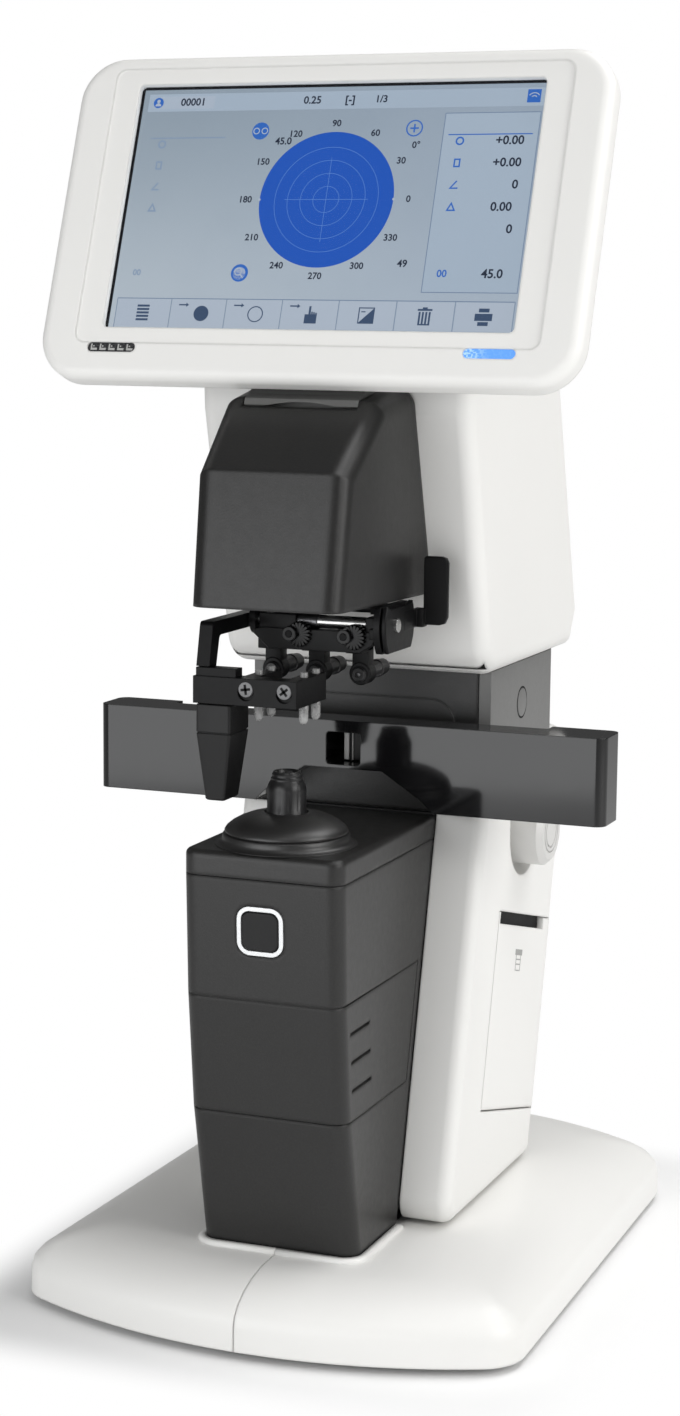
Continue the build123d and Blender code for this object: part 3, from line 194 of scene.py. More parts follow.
def rubberFinish():
    finish = Finish("rubberBlack", specular=0.3)
    pores = finish.noise(1400, 3)
    dust = finish.noise(60, 4)
    tone = finish.blend(finish.fade(dust, 0.45, 0.75, 0, 0.5), (0.016, 0.016, 0.017), (0.06, 0.058, 0.055))
    finish.paint(colour=tone, roughness=0.78 + (pores - 0.5) * 0.2, normal=finish.bump(pores, 0.06 * mm))
    return finish.material


def paperFinish():
    finish = Finish("thermalPaper", specular=0.35)
    fibres = finish.noise(700, 4)
    layers = finish.node("ShaderNodeTexWave", {"wave_type": "RINGS", "rings_direction": "Z"},
                         {"Vector": finish.place, "Scale": 900, "Distortion": 0.6})
    finish.paint(colour=finish.blend(layers * 0.4 + fibres * 0.2, (0.83, 0.82, 0.79), (0.66, 0.65, 0.62)),
                 roughness=0.6 + fibres * 0.15, normal=finish.bump(layers * 0.5 + fibres * 0.5, 0.03 * mm))
    return finish.material


def glassFinish():
    finish = Finish("clearGlass", alpha=0.09, specular=0.5)
    smear = finish.noise(26, 4)
    finish.paint(colour=finish.blend(smear, (0.02, 0.024, 0.028), (0.05, 0.055, 0.06)),
                 roughness=0.05 + finish.fade(smear, 0.45, 0.8, 0, 0.12))
    return finish.material


def clearTipFinish():
    finish = Finish("clearTip", alpha=0.5, specular=1)
    cloud = finish.noise(500, 2)
    finish.paint(colour=finish.blend(cloud, (0.26, 0.26, 0.26), (0.62, 0.62, 0.61)), roughness=0.16 + cloud * 0.1)
    return finish.material


def displayFinish():
    # the lit background of the screen: a slow bluish gradient with a fine pixel texture
    finish = Finish("litDisplay", glowStrength=1, specular=0.3, roughness=0.25)
    across, up = finish.axis("X"), finish.axis("Z")
    height = finish.fade(up, 356 * mm, 446 * mm)
    tone = finish.blend(height, (0.48, 0.55, 0.62), (0.29, 0.36, 0.43))
    tone = finish.blend(finish.fade(across, -78 * mm, 78 * mm, 0, 0.55), tone, (0.36, 0.44, 0.55))
    pixels = finish.pixels()
    cloud = finish.noise(30, 3)
    tone = finish.blend(pixels * 0.05 + finish.fade(cloud, 0.4, 0.7, 0, 0.06), tone, (0.2, 0.26, 0.34))
    finish.paint(colour=(0.03, 0.034, 0.04), glow=tone)
    return finish.material


def screenInk(name, colour):
    # one colour of the lit picture, with the display's fine pixel texture
    finish = Finish(name, glowStrength=1, specular=0.3, roughness=0.3, colour=shade(colour, 0.08))
    pixels = finish.pixels()
    drift = finish.noise(60, 3)
    finish.paint(glow=finish.blend(pixels * 0.12 + drift * 0.12, colour, shade(colour, 0.78)))
    return finish.material


def lampFinish():
    # left pill unlit and dark, right pill lit blue with its light source showing through
    finish = Finish("signalLamps", glowStrength=1, specular=0.6)
    across = finish.axis("X")
    lit = across.above(0)
    cells = finish.node("ShaderNodeTexVoronoi", {"distance": "CHEBYCHEV"},
                        {"Vector": finish.place, "Scale": 900}, out="Distance")
    source = finish.fade(across, 62 * mm, 71 * mm, 1, 0) * finish.fade(cells, 0.3, 0.5)
    blue = finish.blend(source, (0.1, 0.29, 0.75), (0.45, 0.66, 0.95))
    finish.paint(colour=finish.blend(lit, (0.035, 0.035, 0.037), (0.06, 0.14, 0.32)),
                 glow=finish.blend(lit, (0, 0, 0), blue), roughness=0.2 + cells * 0.15)
    return finish.material


def ringFinish():
    # silver printed ring round the start button
    finish = Finish("ringSilver", metallic=0.55)
    grain = finish.noise(1500, 2)
    finish.paint(colour=finish.blend(grain, (0.72, 0.73, 0.74), (0.88, 0.89, 0.9)), roughness=0.26 + grain * 0.12,
                 normal=finish.bump(grain, 0.01 * mm, over=finish.edge(0.3 * mm)))
    return finish.material


# colour, grain per metre, grain depth in mm, roughness, spread of tone, light flecks, rounding of edges in mm,
# spread of roughness, specular level
plastics = {
    "whiteShell": ((0.8, 0.795, 0.775), 2600, 0.012, 0.42, 0.012, 0, 1.3, 0.08, 0.5),
    "charcoalShell": ((0.0135, 0.0132, 0.0129), 1500, 0.05, 0.36, 0.1, 0.3, 2, 0.12, 0.45),
    "softBlack": ((0.0095, 0.0095, 0.01), 1800, 0.03, 0.5, 0.05, 0.12, 0.5, 0.12, 0.3),
    "pianoBlack": ((0.005, 0.005, 0.0055), 420, 0.0006, 0.07, 0.05, 0, 0.5, 0.03, 0.5),
    "neckGrey": ((0.165, 0.165, 0.162), 2200, 0.02, 0.45, 0.03, 0.03, 0.5, 0.12, 0.5),
    "hingeGrey": ((0.12, 0.12, 0.117), 1900, 0.03, 0.48, 0.05, 0.06, 0.5, 0.12, 0.5),
    "knobWhite": ((0.62, 0.615, 0.6), 2600, 0.012, 0.4, 0.02, 0, 0.6, 0.12, 0.5),
    "markerBlack": ((0.0042, 0.0042, 0.0045), 2400, 0.012, 0.4, 0.06, 0.08, 0.4, 0.12, 0.16),
    "knobBlack": ((0.0035, 0.0035, 0.0038), 1800, 0.01, 0.3, 0.06, 0.1, 0.2, 0.12, 0.25),
    "charcoalGloss": ((0.0125, 0.0122, 0.012), 1800, 0.035, 0.4, 0.08, 0.25, 0.3, 0.12, 0.75),
    "gripBlack": ((0.0062, 0.0062, 0.0065), 2000, 0.025, 0.44, 0.06, 0.12, 0.5, 0.12, 0.3),
    "noseGloss": ((0.008, 0.008, 0.0085), 1500, 0.008, 0.38, 0.06, 0.08, 0.25, 0.12, 0.5),
    # painted shade: near-black worn by cross cuts, hex sockets, the paper throat and the plug gap, for the shade
    # inside them
    "recessShade": ((0.004, 0.004, 0.0045), 900, 0.02, 0.6, 0.05, 0.05, 0.1, 0.12, 0.2),
    "screwGrey": ((0.15, 0.15, 0.155), 1500, 0.004, 0.35, 0.08, 0.05, 0.15, 0.12, 0.5),
    # light grey of the lamp reflectors: painted glint
    "glintGrey": ((0.42, 0.42, 0.41), 1200, 0.01, 0.3, 0.06, 0, 0.1, 0.12, 0.5),
    "markGrey": ((0.33, 0.33, 0.32), 1200, 0.004, 0.5, 0.05, 0, 0.1, 0.12, 0.5),
    "penBlack": ((0.008, 0.008, 0.009), 1900, 0.01, 0.24, 0.06, 0.03, 0.25, 0.12, 0.5),
}
# colour, streaks per metre, stretch of the streaks, roughness, depth of the streaks in mm
metals = {
    "brushedSteel": ((0.58, 0.58, 0.57), 900, (0.06, 1, 1), 0.26, 0.01),
    "turnedSteel": ((0.7, 0.7, 0.69), 1400, (1, 0.2, 1), 0.18, 0.006),
    "darkSteel": ((0.16, 0.16, 0.165), 1200, (1, 0.3, 1), 0.34, 0.006),
    "castAlloy": ((0.42, 0.42, 0.43), 320, (1, 1, 1), 0.46, 0.08),
}
finishes = {name: moulded(name, *look) for name, look in plastics.items()}
finishes.update({name: metal(name, *look) for name, look in metals.items()})
finishes.update({
    "boardGreen": boardFinish(), "rubberBlack": rubberFinish(), "thermalPaper": paperFinish(),
    "clearGlass": glassFinish(), "clearTip": clearTipFinish(), "litDisplay": displayFinish(),
    "signalLamps": lampFinish(), "ringSilver": ringFinish(),
})

# which finish each carried-over node wears
worn = {
    "whiteShell": ["base_cover_left", "base_cover_right", "body_cover_left", "body_cover_right", "upper_housing",
                   "rear_cover", "printer_door", "screen_frame"],
    "charcoalShell": ["column_shell", "access_cover", "column_cap", "rest_dome", "head_cover", "head_base_plate",
                      "neck_front", "socket_plate", "rear_sockets", "switch_rocker"],
    "softBlack": ["nose_piece", "start_button", "presser_grip"],
    "pianoBlack": ["lens_table"],
    "neckGrey": ["neck_side_left", "neck_side_right"],
    "hingeGrey": ["hinge_cradle", "printer_tray", "screen_rear"],
    "knobWhite": ["table_knob"],
    "markerBlack": ["presser_block", "presser_arm", "marker_carriage", "marker_bracket", "marker_lever"],
    "penBlack": ["marker_pens"],
    "brushedSteel": ["base_pan", "table_rails", "drive_shaft", "marker_shaft", "power_supply"],
    "turnedSteel": ["hinge_pin", "presser_screws", "lens_pin_1", "lens_pin_2", "lens_pin_3", "lens_pin_4"],
    "castAlloy": ["inner_frame", "receiver_tube", "lamp_tube", "print_head"],
    "rubberBlack": ["rubber_feet", "platen_roller"],
    "clearGlass": ["optic_lenses", "touch_glass"],
    "signalLamps": ["lamp_lenses"],
    "ringSilver": ["button_light_ring"],
    "boardGreen": ["circuit_boards", "screen_boards"],
    "litDisplay": ["display_panel"],
    "thermalPaper": ["paper_roll"],
}
for finishName, members in worn.items():
    for member in members:
        nodes[member].data.materials.clear()
        nodes[member].data.materials.append(finishes[finishName])
bare = sorted(set(nodes) - {member for members in worn.values() for member in members})
print("finishes made:", len(finishes), "nodes without one:", bare)


def linked(name, data):
    made = bpy.data.objects.new(name, data)
    bpy.context.scene.collection.objects.link(made)
    return made


def addPiece(name, mesh, body, finish):
    piece = linked(name, mesh)
    mesh.materials.clear()
    mesh.materials.append(finishes[finish])
    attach(piece, body)
    return piece


def soften(name, sharp, finish, body="stand"):
    # the node's own shape with its edges merged and smoothly shaded, so curved faces show no bands
    source = nodes[name]
    made = bmesh.new()
    made.from_mesh(source.data)
    bmesh.ops.remove_doubles(made, verts=made.verts, dist=0.02 * mm)
    bmesh.ops.dissolve_degenerate(made, edges=made.edges, dist=0.01 * mm)
    bmesh.ops.recalc_face_normals(made, faces=made.faces)
    mesh = bpy.data.meshes.new(name + "_smooth")
    made.to_mesh(mesh)
    made.free()
    mesh.shade_smooth()
    mesh.set_sharp_from_angle(angle=radians(sharp))
    piece = addPiece(name + "_smooth", mesh, body, finish)
    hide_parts(name)
    return piece


for coverName in ("base_cover_left", "base_cover_right"):
    soften(coverName, 27, "whiteShell")

# Local places: the screen leans back, the printer door leans with the body's rear flank
screenLean = radians(20.4)
doorLean = radians(14.3)


def leaning(across, along, up, lean, y, z):
    return Vector((across, y + along * cos(lean) + up * sin(lean),
                   z - along * sin(lean) + up * cos(lean))) * mm


def onScreen(u, v, depth):
    return leaning(u, depth, v, screenLean, -59.4, 402)


def onDoor(along, up, out):
    return leaning(out, along, up, doorLean, 29.8, 91.7)


def arcOf(a, b, radius, start=0, end=360, steps=40):
    # a whole turn leaves out its last point, which is the first one again
    return [(a + radius * cos(radians(start + (end - start) * i / steps)),
             b + radius * sin(radians(start + (end - start) * i / steps)))
            for i in range(steps if end - start >= 360 else steps + 1)]


def rectangle(left, low, right, high):
    return [(left, low), (right, low), (right, high), (left, high)]


# depths in mm of the picture's layers, front and back, behind the touch glass
layers = {"fill": (4.462, 4.492), "line": (4.432, 4.458), "ring": (4.402, 4.428), "mark": (4.372, 4.398),
          "pale": (4.361, 4.370), "edge": (4.350, 4.361)}


class Picture:
    # thin raised shapes of one colour, laid on the display in millimetres u and v
    def __init__(self, layer):
        self.front, self.back = layers[layer]
        self.mesh = bmesh.new()

    def ringOf(self, points):
        return [[self.mesh.verts.new(onScreen(u, v, depth)) for u, v in points] for depth in (self.front, self.back)]

    def plate(self, points):
        front, back = self.ringOf(points)
        self.mesh.faces.new(front)
        self.mesh.faces.new(back[::-1])
        for i in range(len(points)):
            j = (i + 1) % len(points)
            self.mesh.faces.new((front[j], front[i], back[i], back[j]))

    def box(self, left, low, right, high):
        self.plate(rectangle(left, low, right, high))

    def line(self, points, width, closed=False):
        # a mitred stroke along points
        count = len(points)
        sides = ([], [])
        for i, here in enumerate(points):
            before = points[i - 1] if i or closed else here
            after = points[(i + 1) % count] if i < count - 1 or closed else here
            first = Vector((here[0] - before[0], here[1] - before[1]))
            second = Vector((after[0] - here[0], after[1] - here[1]))
            first = first.normalized() if first.length else second.normalized()
            second = second.normalized() if second.length else first
            along = (first + second).normalized()
            reach = width / 2 / max(0.5, along.dot(first))
            sides[0].append((here[0] - along.y * reach, here[1] + along.x * reach))
            sides[1].append((here[0] + along.y * reach, here[1] - along.x * reach))
        left, right = self.ringOf(sides[0]), self.ringOf(sides[1])
        for i in range(count if closed else count - 1):
            j = (i + 1) % count
            self.mesh.faces.new((right[0][i], right[0][j], left[0][j], left[0][i]))
            self.mesh.faces.new((left[1][i], left[1][j], right[1][j], right[1][i]))
            self.mesh.faces.new((left[0][i], left[0][j], left[1][j], left[1][i]))
            self.mesh.faces.new((right[0][j], right[0][i], right[1][i], right[1][j]))
        if not closed:
            for i in (0, count - 1):
                self.mesh.faces.new((left[0][i], left[1][i], right[1][i], right[0][i]))

    def disc(self, u, v, radius, steps):
        self.plate(arcOf(u, v, radius, steps=steps))

    def ring(self, u, v, radius, width, steps):
        self.line(arcOf(u, v, radius, steps=steps), width, closed=True)

    def frameBox(self, left, low, right, high, width):
        self.line(rectangle(left, low, right, high), width, closed=True)

    def number(self, text, u, v, height):
        # plain digits, centred on u, v
        curve = bpy.data.curves.new("digits", "FONT")
        curve.body = text
        curve.size = height * 1.38
        curve.align_x = "CENTER"
        curve.align_y = "CENTER"
        curve.extrude = (self.back - self.front) / 2
        curve.offset = height * 0.03
        curve.resolution_u = 3
        holder = linked("digits", curve)
        flat = bpy.data.meshes.new_from_object(holder.evaluated_get(bpy.context.evaluated_depsgraph_get()))
        middle = (self.front + self.back) / 2
        for vertex in flat.vertices:
            x, y, z = vertex.co
            vertex.co = onScreen(u + x, v + y, middle - z)
        self.mesh.from_mesh(flat)
        bpy.data.objects.remove(holder)
        bpy.data.curves.remove(curve)
        bpy.data.meshes.remove(flat)

    def place(self, name, finish):
        bmesh.ops.remove_doubles(self.mesh, verts=self.mesh.verts, dist=1e-8)
        bmesh.ops.recalc_face_normals(self.mesh, faces=self.mesh.faces)
        mesh = bpy.data.meshes.new(name)
        self.mesh.to_mesh(mesh)
        self.mesh.free()
        return addPiece(name, mesh, "screen", finish)


# colours of the picture's inks
inks = {
    "inkPanel": (0.40, 0.49, 0.60), "inkButton": (0.45, 0.52, 0.62), "inkBlue": (0.016, 0.1, 0.52),
    "inkBlueLight": (0.12, 0.27, 0.68), "inkRule": (0.17, 0.24, 0.36), "inkDark": (0.018, 0.026, 0.05),
    "inkMark": (0.035, 0.15, 0.55), "inkFaint": (0.24, 0.33, 0.47), "inkEdge": (0.008, 0.008, 0.01),
    "inkIcon": (0.05, 0.085, 0.16),
}
finishes.update({name: screenInk(name, colour) for name, colour in inks.items()})

screenLook = {"discU": 0.2, "discV": 3.4, "discRadius": 25.6, "buttonPitch": 21.6, "buttonLow": -45,
              "buttonHigh": -34.6, "buttonLeft": -75.4, "edgeWidth": 1.1,
              "valueRows": [25, 16.8, 8.6, 0.4, -7.8]}


def buildPicture(look):
    u0, v0, radius = look["discU"], look["discV"], look["discRadius"]
    panels = Picture("fill")
    panels.box(41, -31, 76, 35.5)
    panels.box(-75.5, 37.8, 77, 44.6)
    panels.place("screen_panels", "inkPanel")

    buttons = Picture("fill")
    for i in range(7):
        left = look["buttonLeft"] + i * look["buttonPitch"]
        buttons.box(left + 0.35, look["buttonLow"], left + look["buttonPitch"] - 0.35, look["buttonHigh"])
    buttons.box(-71, 38.8, -49, 43.6)
    buttons.place("screen_buttons", "inkButton")

    rules = Picture("line")
    rules.frameBox(41, -31, 76, 35.5, 0.28)
    for i in range(8):
        edge = look["buttonLeft"] + i * look["buttonPitch"]
        rules.box(edge - 0.12, look["buttonLow"] - 0.3, edge + 0.12, look["buttonHigh"] + 0.3)
    rules.box(look["buttonLeft"], look["buttonHigh"] + 0.2, 75.8, look["buttonHigh"] + 0.5)
    rules.place("screen_rules", "inkRule")

    faint = Picture("line")
    faint.box(-72.5, 27.2, -42.5, 27.6)
    for i, v in enumerate(look["valueRows"][:4]):
        buildMark(faint, i, -67.5, v)
    faint.number("00", -69.5, -24.5, 2.3)
    faint.place("screen_faint_marks", "inkFaint")

    disc = Picture("line")
    disc.disc(u0, v0, radius, 96)
    disc.place("screen_disc", "inkBlue")

    rings = Picture("ring")
    for i in range(1, 5):
        rings.ring(u0, v0, radius * i * 0.193, 0.16, 64)
    rings.box(u0 - 16, v0 - 0.08, u0 + 16, v0 + 0.08)
    rings.box(u0 - 0.08, v0 - 16, u0 + 0.08, v0 + 16)
    rings.place("screen_disc_rings", "inkBlueLight")

    dots = Picture("mark")
    for side in (-1, 1):
        dots.disc(u0 + side * radius, v0, 0.45, 16)
    dots.disc(-29, -24.5, 2.4, 28)
    dots.place("screen_dots", "inkButton")

    figures = Picture("mark")
    for angle in range(0, 360, 30):
        reach = 30 if angle % 180 == 0 else 29.4
        figures.number(str(angle), u0 + (reach + 1.2) * cos(radians(angle)),
                       v0 + (reach - 0.6) * sin(radians(angle)), 2.5)
    for value, v in zip(("+0.00", "+0.00", "0", "0.00", "0", "45.0"), look["valueRows"] + [-24.2]):
        figures.number(value, 66 if len(value) > 3 else 70, v, 3.3)
    for value, u, v, height in (("00001", -57.5, 41.2, 2.9), ("0.25", -10.5, 41.2, 2.9), ("[-]", 4, 41.2, 2.9),
                                ("1/3", 16, 41.2, 2.7), ("45.0", -19.5, 25.6, 2.7), ("49", 32.5, -20.6, 2.7),
                                ("0°", 31.5, 23.6, 2.5)):
        figures.number(value, u, v, height)
    figures.place("screen_figures", "inkDark")

    marks = Picture("mark")
    for i, v in enumerate(look["valueRows"][:4]):
        buildMark(marks, i, 47.6, v)
    marks.box(43, 27.2, 74, 27.6)
    marks.number("00", 47.6, -24.2, 2.7)
    marks.disc(-29, 29.7, 3.3, 32)
    marks.ring(30, 30, 2.9, 0.5, 32)
    marks.box(29.7, 28.4, 30.3, 31.6)
    marks.box(28.4, 29.7, 31.6, 30.3)
    marks.disc(-28.9, -24.4, 3.3, 32)
    marks.disc(-71.5, 41.2, 2, 28)
    marks.box(70.3, 39, 75.2, 43.9)
    marks.place("screen_marks", "inkMark")

    icons = Picture("mark")
    buildIcons(icons, look)
    icons.place("screen_icons", "inkIcon")

    pale = Picture("pale")
    pale.ring(-30.6, 29.7, 1.1, 0.35, 20)
    pale.ring(-27.4, 29.7, 1.1, 0.35, 20)
    pale.ring(-29.5, -23.9, 1.3, 0.4, 20)
    pale.line([(-28.6, -24.9), (-27.4, -26.2)], 0.5)
    pale.disc(-71.5, 41.8, 0.7, 16)
    pale.plate(arcOf(-71.5, 39.9, 1.2, 0, 180, 12))
    for i in (1, 2):
        pale.line(arcOf(72.8, 40.4, 1.1 * i, 35, 145, 10), 0.35)
    pale.line([(-55.1, -40.6), (-55.1, -38.4)], 0.4)
    pale.place("screen_pale_marks", "inkButton")

    # black surround of the lit area
    edge = Picture("edge")
    edge.frameBox(-78.6, -47.3, 78.6, 47.3, 2 * look["edgeWidth"])
    edge.place("screen_surround", "inkEdge")


def buildMark(picture, kind, u, v):
    # small signs for sphere, cylinder, axis and prism in place of letters
    if kind == 0:
        picture.ring(u, v, 1.3, 0.6, 24)
    elif kind == 1:
        picture.frameBox(u - 0.95, v - 1.35, u + 0.95, v + 1.35, 0.55)
    elif kind == 2:
        picture.line([(u + 1.5, v - 1.2), (u - 1.3, v - 1.2), (u + 0.9, v + 1.5)], 0.55)
    else:
        picture.line([(u - 1.35, v - 1.2), (u + 1.35, v - 1.2), (u, v + 1.4)], 0.55, closed=True)


def buildIcons(picture, look):
    middle = [look["buttonLeft"] + (i + 0.5) * look["buttonPitch"] for i in range(7)]
    v = (look["buttonLow"] + look["buttonHigh"]) / 2
    u = middle[0]
    for i in range(5):
        picture.box(u - 2.4, v - 2.9 + i * 1.3, u + 2.4, v - 2.9 + i * 1.3 + 0.8)
    u = middle[1]
    picture.disc(u + 1.5, v, 2.9, 32)
    u = middle[2]
    picture.ring(u + 1, v, 2.8, 0.4, 32)
    for u in middle[1:4]:
        picture.line([(u - 7.6, v + 3.2), (u - 4.6, v + 3.2)], 0.5)
        picture.plate([(u - 4.8, v + 2.4), (u - 3.7, v + 3.2), (u - 4.8, v + 4)])
    u = middle[3]
    picture.box(u - 0.2, v - 0.6, u + 0.6, v + 3.2)
    picture.box(u - 1.6, v - 3.2, u + 3, v + 0.2)
    for i in range(3):
        picture.box(u + 0.8 + i * 0.8, v - 0.2, u + 1.4 + i * 0.8, v + 1.2 - i * 0.2)
    u = middle[4]
    picture.frameBox(u - 2.8, v - 2.8, u + 2.8, v + 2.8, 0.4)
    picture.plate([(u - 2.6, v - 2.6), (u + 2.6, v - 2.6), (u + 2.6, v + 2.6)])
    picture.box(u - 2, v + 1.2, u - 0.4, v + 1.6)
    u = middle[5]
    picture.box(u - 2.7, v + 2, u + 2.7, v + 2.7)
    picture.box(u - 0.9, v + 2.7, u + 0.9, v + 3.3)
    for i in range(4):
        picture.box(u - 2.2 + i * 1.24, v - 3, u - 1.5 + i * 1.24, v + 1.6)
    picture.box(u - 2.2, v - 3.3, u + 2.22, v - 2.8)
    u = middle[6]
    picture.box(u - 3.2, v - 1.4, u + 3.2, v + 1.2)
    picture.box(u - 1.9, v + 1.7, u + 1.9, v + 3.1)
    picture.box(u - 1.9, v - 3.2, u + 1.9, v - 1.8)


buildPicture(screenLook)
print("screen picture laid")


class Sculpt:
    # one mesh being built in millimetres, then laid on a body
    def __init__(self, place=None):
        self.mesh = bmesh.new()
        self.place = place or Matrix()

    def point(self, spot):
        return self.mesh.verts.new(self.place @ Vector(spot))

    def loop(self, rings, closedRound=False):
        # joins rings of equal length with quads, and closes the two ends or joins them too
        made = [[self.point(spot) for spot in ring] for ring in rings]
        pairs = list(zip(made, made[1:])) + ([(made[-1], made[0])] if closedRound else [])
        for first, second in pairs:
            for i in range(len(first)):
                j = (i + 1) % len(first)
                self.mesh.faces.new((first[i], first[j], second[j], second[i]))
        if not closedRound:
            self.mesh.faces.new(made[0][::-1])
            self.mesh.faces.new(made[-1])
        return self

    def spin(self, profile, centre=(0, 0, 0), axis="z", steps=48, dip=None, closedRound=False):
        # profile holds (radius, height) pairs, and a radius of nothing closes a pole
        # dip(angle, height) is taken off the radius
        rings = []
        for radius, height in profile:
            ring = []
            for i in range(steps):
                angle = turn * i / steps
                reach = max(radius, 0.01)
                if dip:
                    reach -= dip(angle, height)
                a, b = reach * cos(angle), reach * sin(angle)
                spot = {"x": (height, a, b), "y": (b, height, a), "z": (a, b, height)}[axis]
                ring.append(tuple(c + d for c, d in zip(centre, spot)))
            rings.append(ring)
        return self.loop(rings, closedRound)

    def block(self, low, high, bevel):
        made = bmesh.ops.create_cube(self.mesh, size=1)["verts"]
        for vertex in made:
            spot = [(a + b) / 2 + c * (b - a) for a, b, c in zip(low, high, vertex.co)]
            vertex.co = self.place @ Vector(spot)
        edges = list({edge for vertex in made for edge in vertex.link_edges})
        if bevel:
            bmesh.ops.bevel(self.mesh, geom=edges, offset=bevel, segments=2, affect="EDGES", profile=0.6)
        return self

    def plate(self, outline, axis, start, end, bevel):
        # a flat shape from its outline, thick along one axis, with a small chamfer all round
        def spots(shift, inset):
            middle = [sum(c) / len(outline) for c in zip(*outline)]
            ring = []
            for a, b in outline:
                span = hypot(a - middle[0], b - middle[1]) or 1
                a, b = a - (a - middle[0]) / span * inset, b - (b - middle[1]) / span * inset
                ring.append({"x": (shift, a, b), "y": (a, shift, b), "z": (a, b, shift)}[axis])
            return ring
        side = 1 if end > start else -1
        return self.loop([spots(start, bevel), spots(start + side * bevel, 0), spots(end - side * bevel, 0),
                          spots(end, bevel)])

    def pipe(self, path, radius, steps):
        rings = []
        for i, here in enumerate(path):
            here = Vector(here)
            before, after = Vector(path[max(i - 1, 0)]), Vector(path[min(i + 1, len(path) - 1)])
            along = (after - before).normalized()
            side = along.cross(Vector((0.12, 0.31, 0.94))).normalized()
            over = along.cross(side)
            rings.append([here + (side * cos(turn * k / steps) + over * sin(turn * k / steps)) * radius
                          for k in range(steps)])
        return self.loop(rings)

    def lay(self, name, body, finish, slotName, smooth=35, replaced=()):
        bmesh.ops.recalc_face_normals(self.mesh, faces=self.mesh.faces)
        for vertex in self.mesh.verts:
            vertex.co = vertex.co * mm
        mesh = bpy.data.meshes.new(name)
        self.mesh.to_mesh(mesh)
        self.mesh.free()
        mesh.shade_smooth()
        mesh.set_sharp_from_angle(angle=radians(smooth))
        piece = addPiece(name, mesh, body, finish)
        if replaced:
            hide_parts(*replaced)
        return piece


# Lens rest: a domed foot in a plain ring, and the grooved nose that carries the lens
restLook = {"centre": (0, -86, 0), "flutes": 12, "fluteDepth": 0.3, "fluteZ": (189.5, 197)}


def buildRest(look):
    dome = [(18.6, 176.85), (25.6, 176.85), (25.5, 177.03), (24.5, 177.2), (23.6, 177.65), (23, 178.4),
            (22.85, 179.2), (22.8, 180.3), (22.5, 180.7), (21.9, 180.8), (21.5, 181.1), (22.1, 181.4), (22.1, 181.9),
            (21.4, 183), (19.6, 184.5), (16.9, 186), (13.8, 187.2), (11, 187.95), (8.9, 188.3), (8, 188.3),
            (7.4, 187.6), (7.4, 182), (18.6, 182)]
    piece = Sculpt().spin(dome, look["centre"], steps=96, closedRound=True)
    piece.lay("rest_dome_shape", "stand", "charcoalGloss", "dark_plastic", 40, ["rest_dome"])

    outer = [(3.45, 182.6), (7.2, 182.6), (7.2, 189.2), (7, 189.6), (7, 196.2), (6.85, 197.4), (6.3, 198.8),
             (5.75, 199.6), (5.6, 200.1), (5.75, 200.4), (5.35, 200.8), (5.2, 201.3), (5.35, 201.9), (4.95, 202.4),
             (4.75, 202.9), (4.2, 203), (3.9, 202.6), (3.5, 201.6), (3.45, 200)]
    low, high = look["fluteZ"]

    def flute(angle, z):
        return look["fluteDepth"] * max(0, cos(look["flutes"] * angle)) ** 12 if low < z < high else 0

    nose = Sculpt().spin(outer, look["centre"], steps=96, dip=flute, closedRound=True)
    nose.lay("nose_shape", "stand", "noseGloss", "soft_black", 50, ["nose_piece"])


buildRest(restLook)

# Presser: clear pins with a dark steel core, and cross screws in dished heads, their cross cuts near-black blocks of
# painted shade
presserLook = {"pins": [(-8.6, -91.6), (8.6, -91.6), (-8.6, -80.4), (8.6, -80.4)],
               "screws": [-7.9, 6.6], "screwY": -105.25, "screwZ": 234, "screwTurns": (8, 38)}


def buildPresser(look):
    for number, (x, y) in enumerate(look["pins"], 1):
        body = f"pin_{number}"
        tip = [(0, 221), (0.55, 221.08), (1.05, 221.4), (1.45, 221.95), (1.66, 222.7), (1.7, 223.6), (1.7, 228.9),
               (1.5, 229.1), (0, 229.1)]
        stub = [(0, 232.2), (1.42, 232.2), (1.42, 239), (1.3, 239.35), (0, 239.4)]
        clear = Sculpt().spin(tip, (x, y, 0), steps=24).spin(stub, (x, y, 0), steps=24)
        clear.lay(f"pin_tip_{number}", body, "clearTip", "steel", 50)
        core = [(0, 223.6), (0.35, 223.7), (0.55, 224.2), (0.6, 225), (0.6, 237.6), (0.45, 238), (0, 238.1)]
        Sculpt().spin(core, (x, y, 0), steps=20).lay(f"pin_core_{number}", body, "darkSteel", "steel", 40,
                                                    [f"lens_pin_{number}"])
    screws = Sculpt()
    for x in look["screws"]:
        dish = [(0, 1.4), (0, 0.16), (2.3, 0.1), (2.6, 0.16), (2.72, 0.4), (2.72, 1.4)]
        screws.spin([(r, look["screwY"] + d) for r, d in dish][::-1], (x, 0, look["screwZ"]), axis="y", steps=40)
    screws.lay("screw_heads", "presser", "screwGrey", "steel", 30, ["presser_screws"])
    # cross cuts as near-black blocks on the heads: painted shade of the recess
    crosses = Sculpt()
    for x, start in zip(look["screws"], look["screwTurns"]):
        for quarter in (0, 90):
            angle = radians(start + quarter)
            a, b = Vector((cos(angle), 0, sin(angle))), Vector((-sin(angle), 0, cos(angle)))
            centre = Vector((x, look["screwY"] + 0.02, look["screwZ"]))
            corners = [centre + a * sa * 1.8 + b * sb * 0.45 for sa, sb in ((-1, -1), (1, -1), (1, 1), (-1, 1))]
            crosses.loop([corners, [c + Vector((0, 0.9 - 0.02 * quarter / 90, 0)) for c in corners]])
    crosses.lay("screw_cross_shade", "presser", "recessShade", "dark_plastic", 30)


buildPresser(presserLook)

# Grip: a straight top part, a shadow line, and a lower part that leans back; hollowed for the left pen
gripLook = {"top": 227.8, "knee": 217.7, "foot": 193.2, "left": -27.2, "right": -14, "front": -104.6, "rear": -86.1,
            "lean": 2.6, "taper": (2.4, 3.2), "corner": 1.1, "penCentre": (-17, -86), "hollow": 3.8}


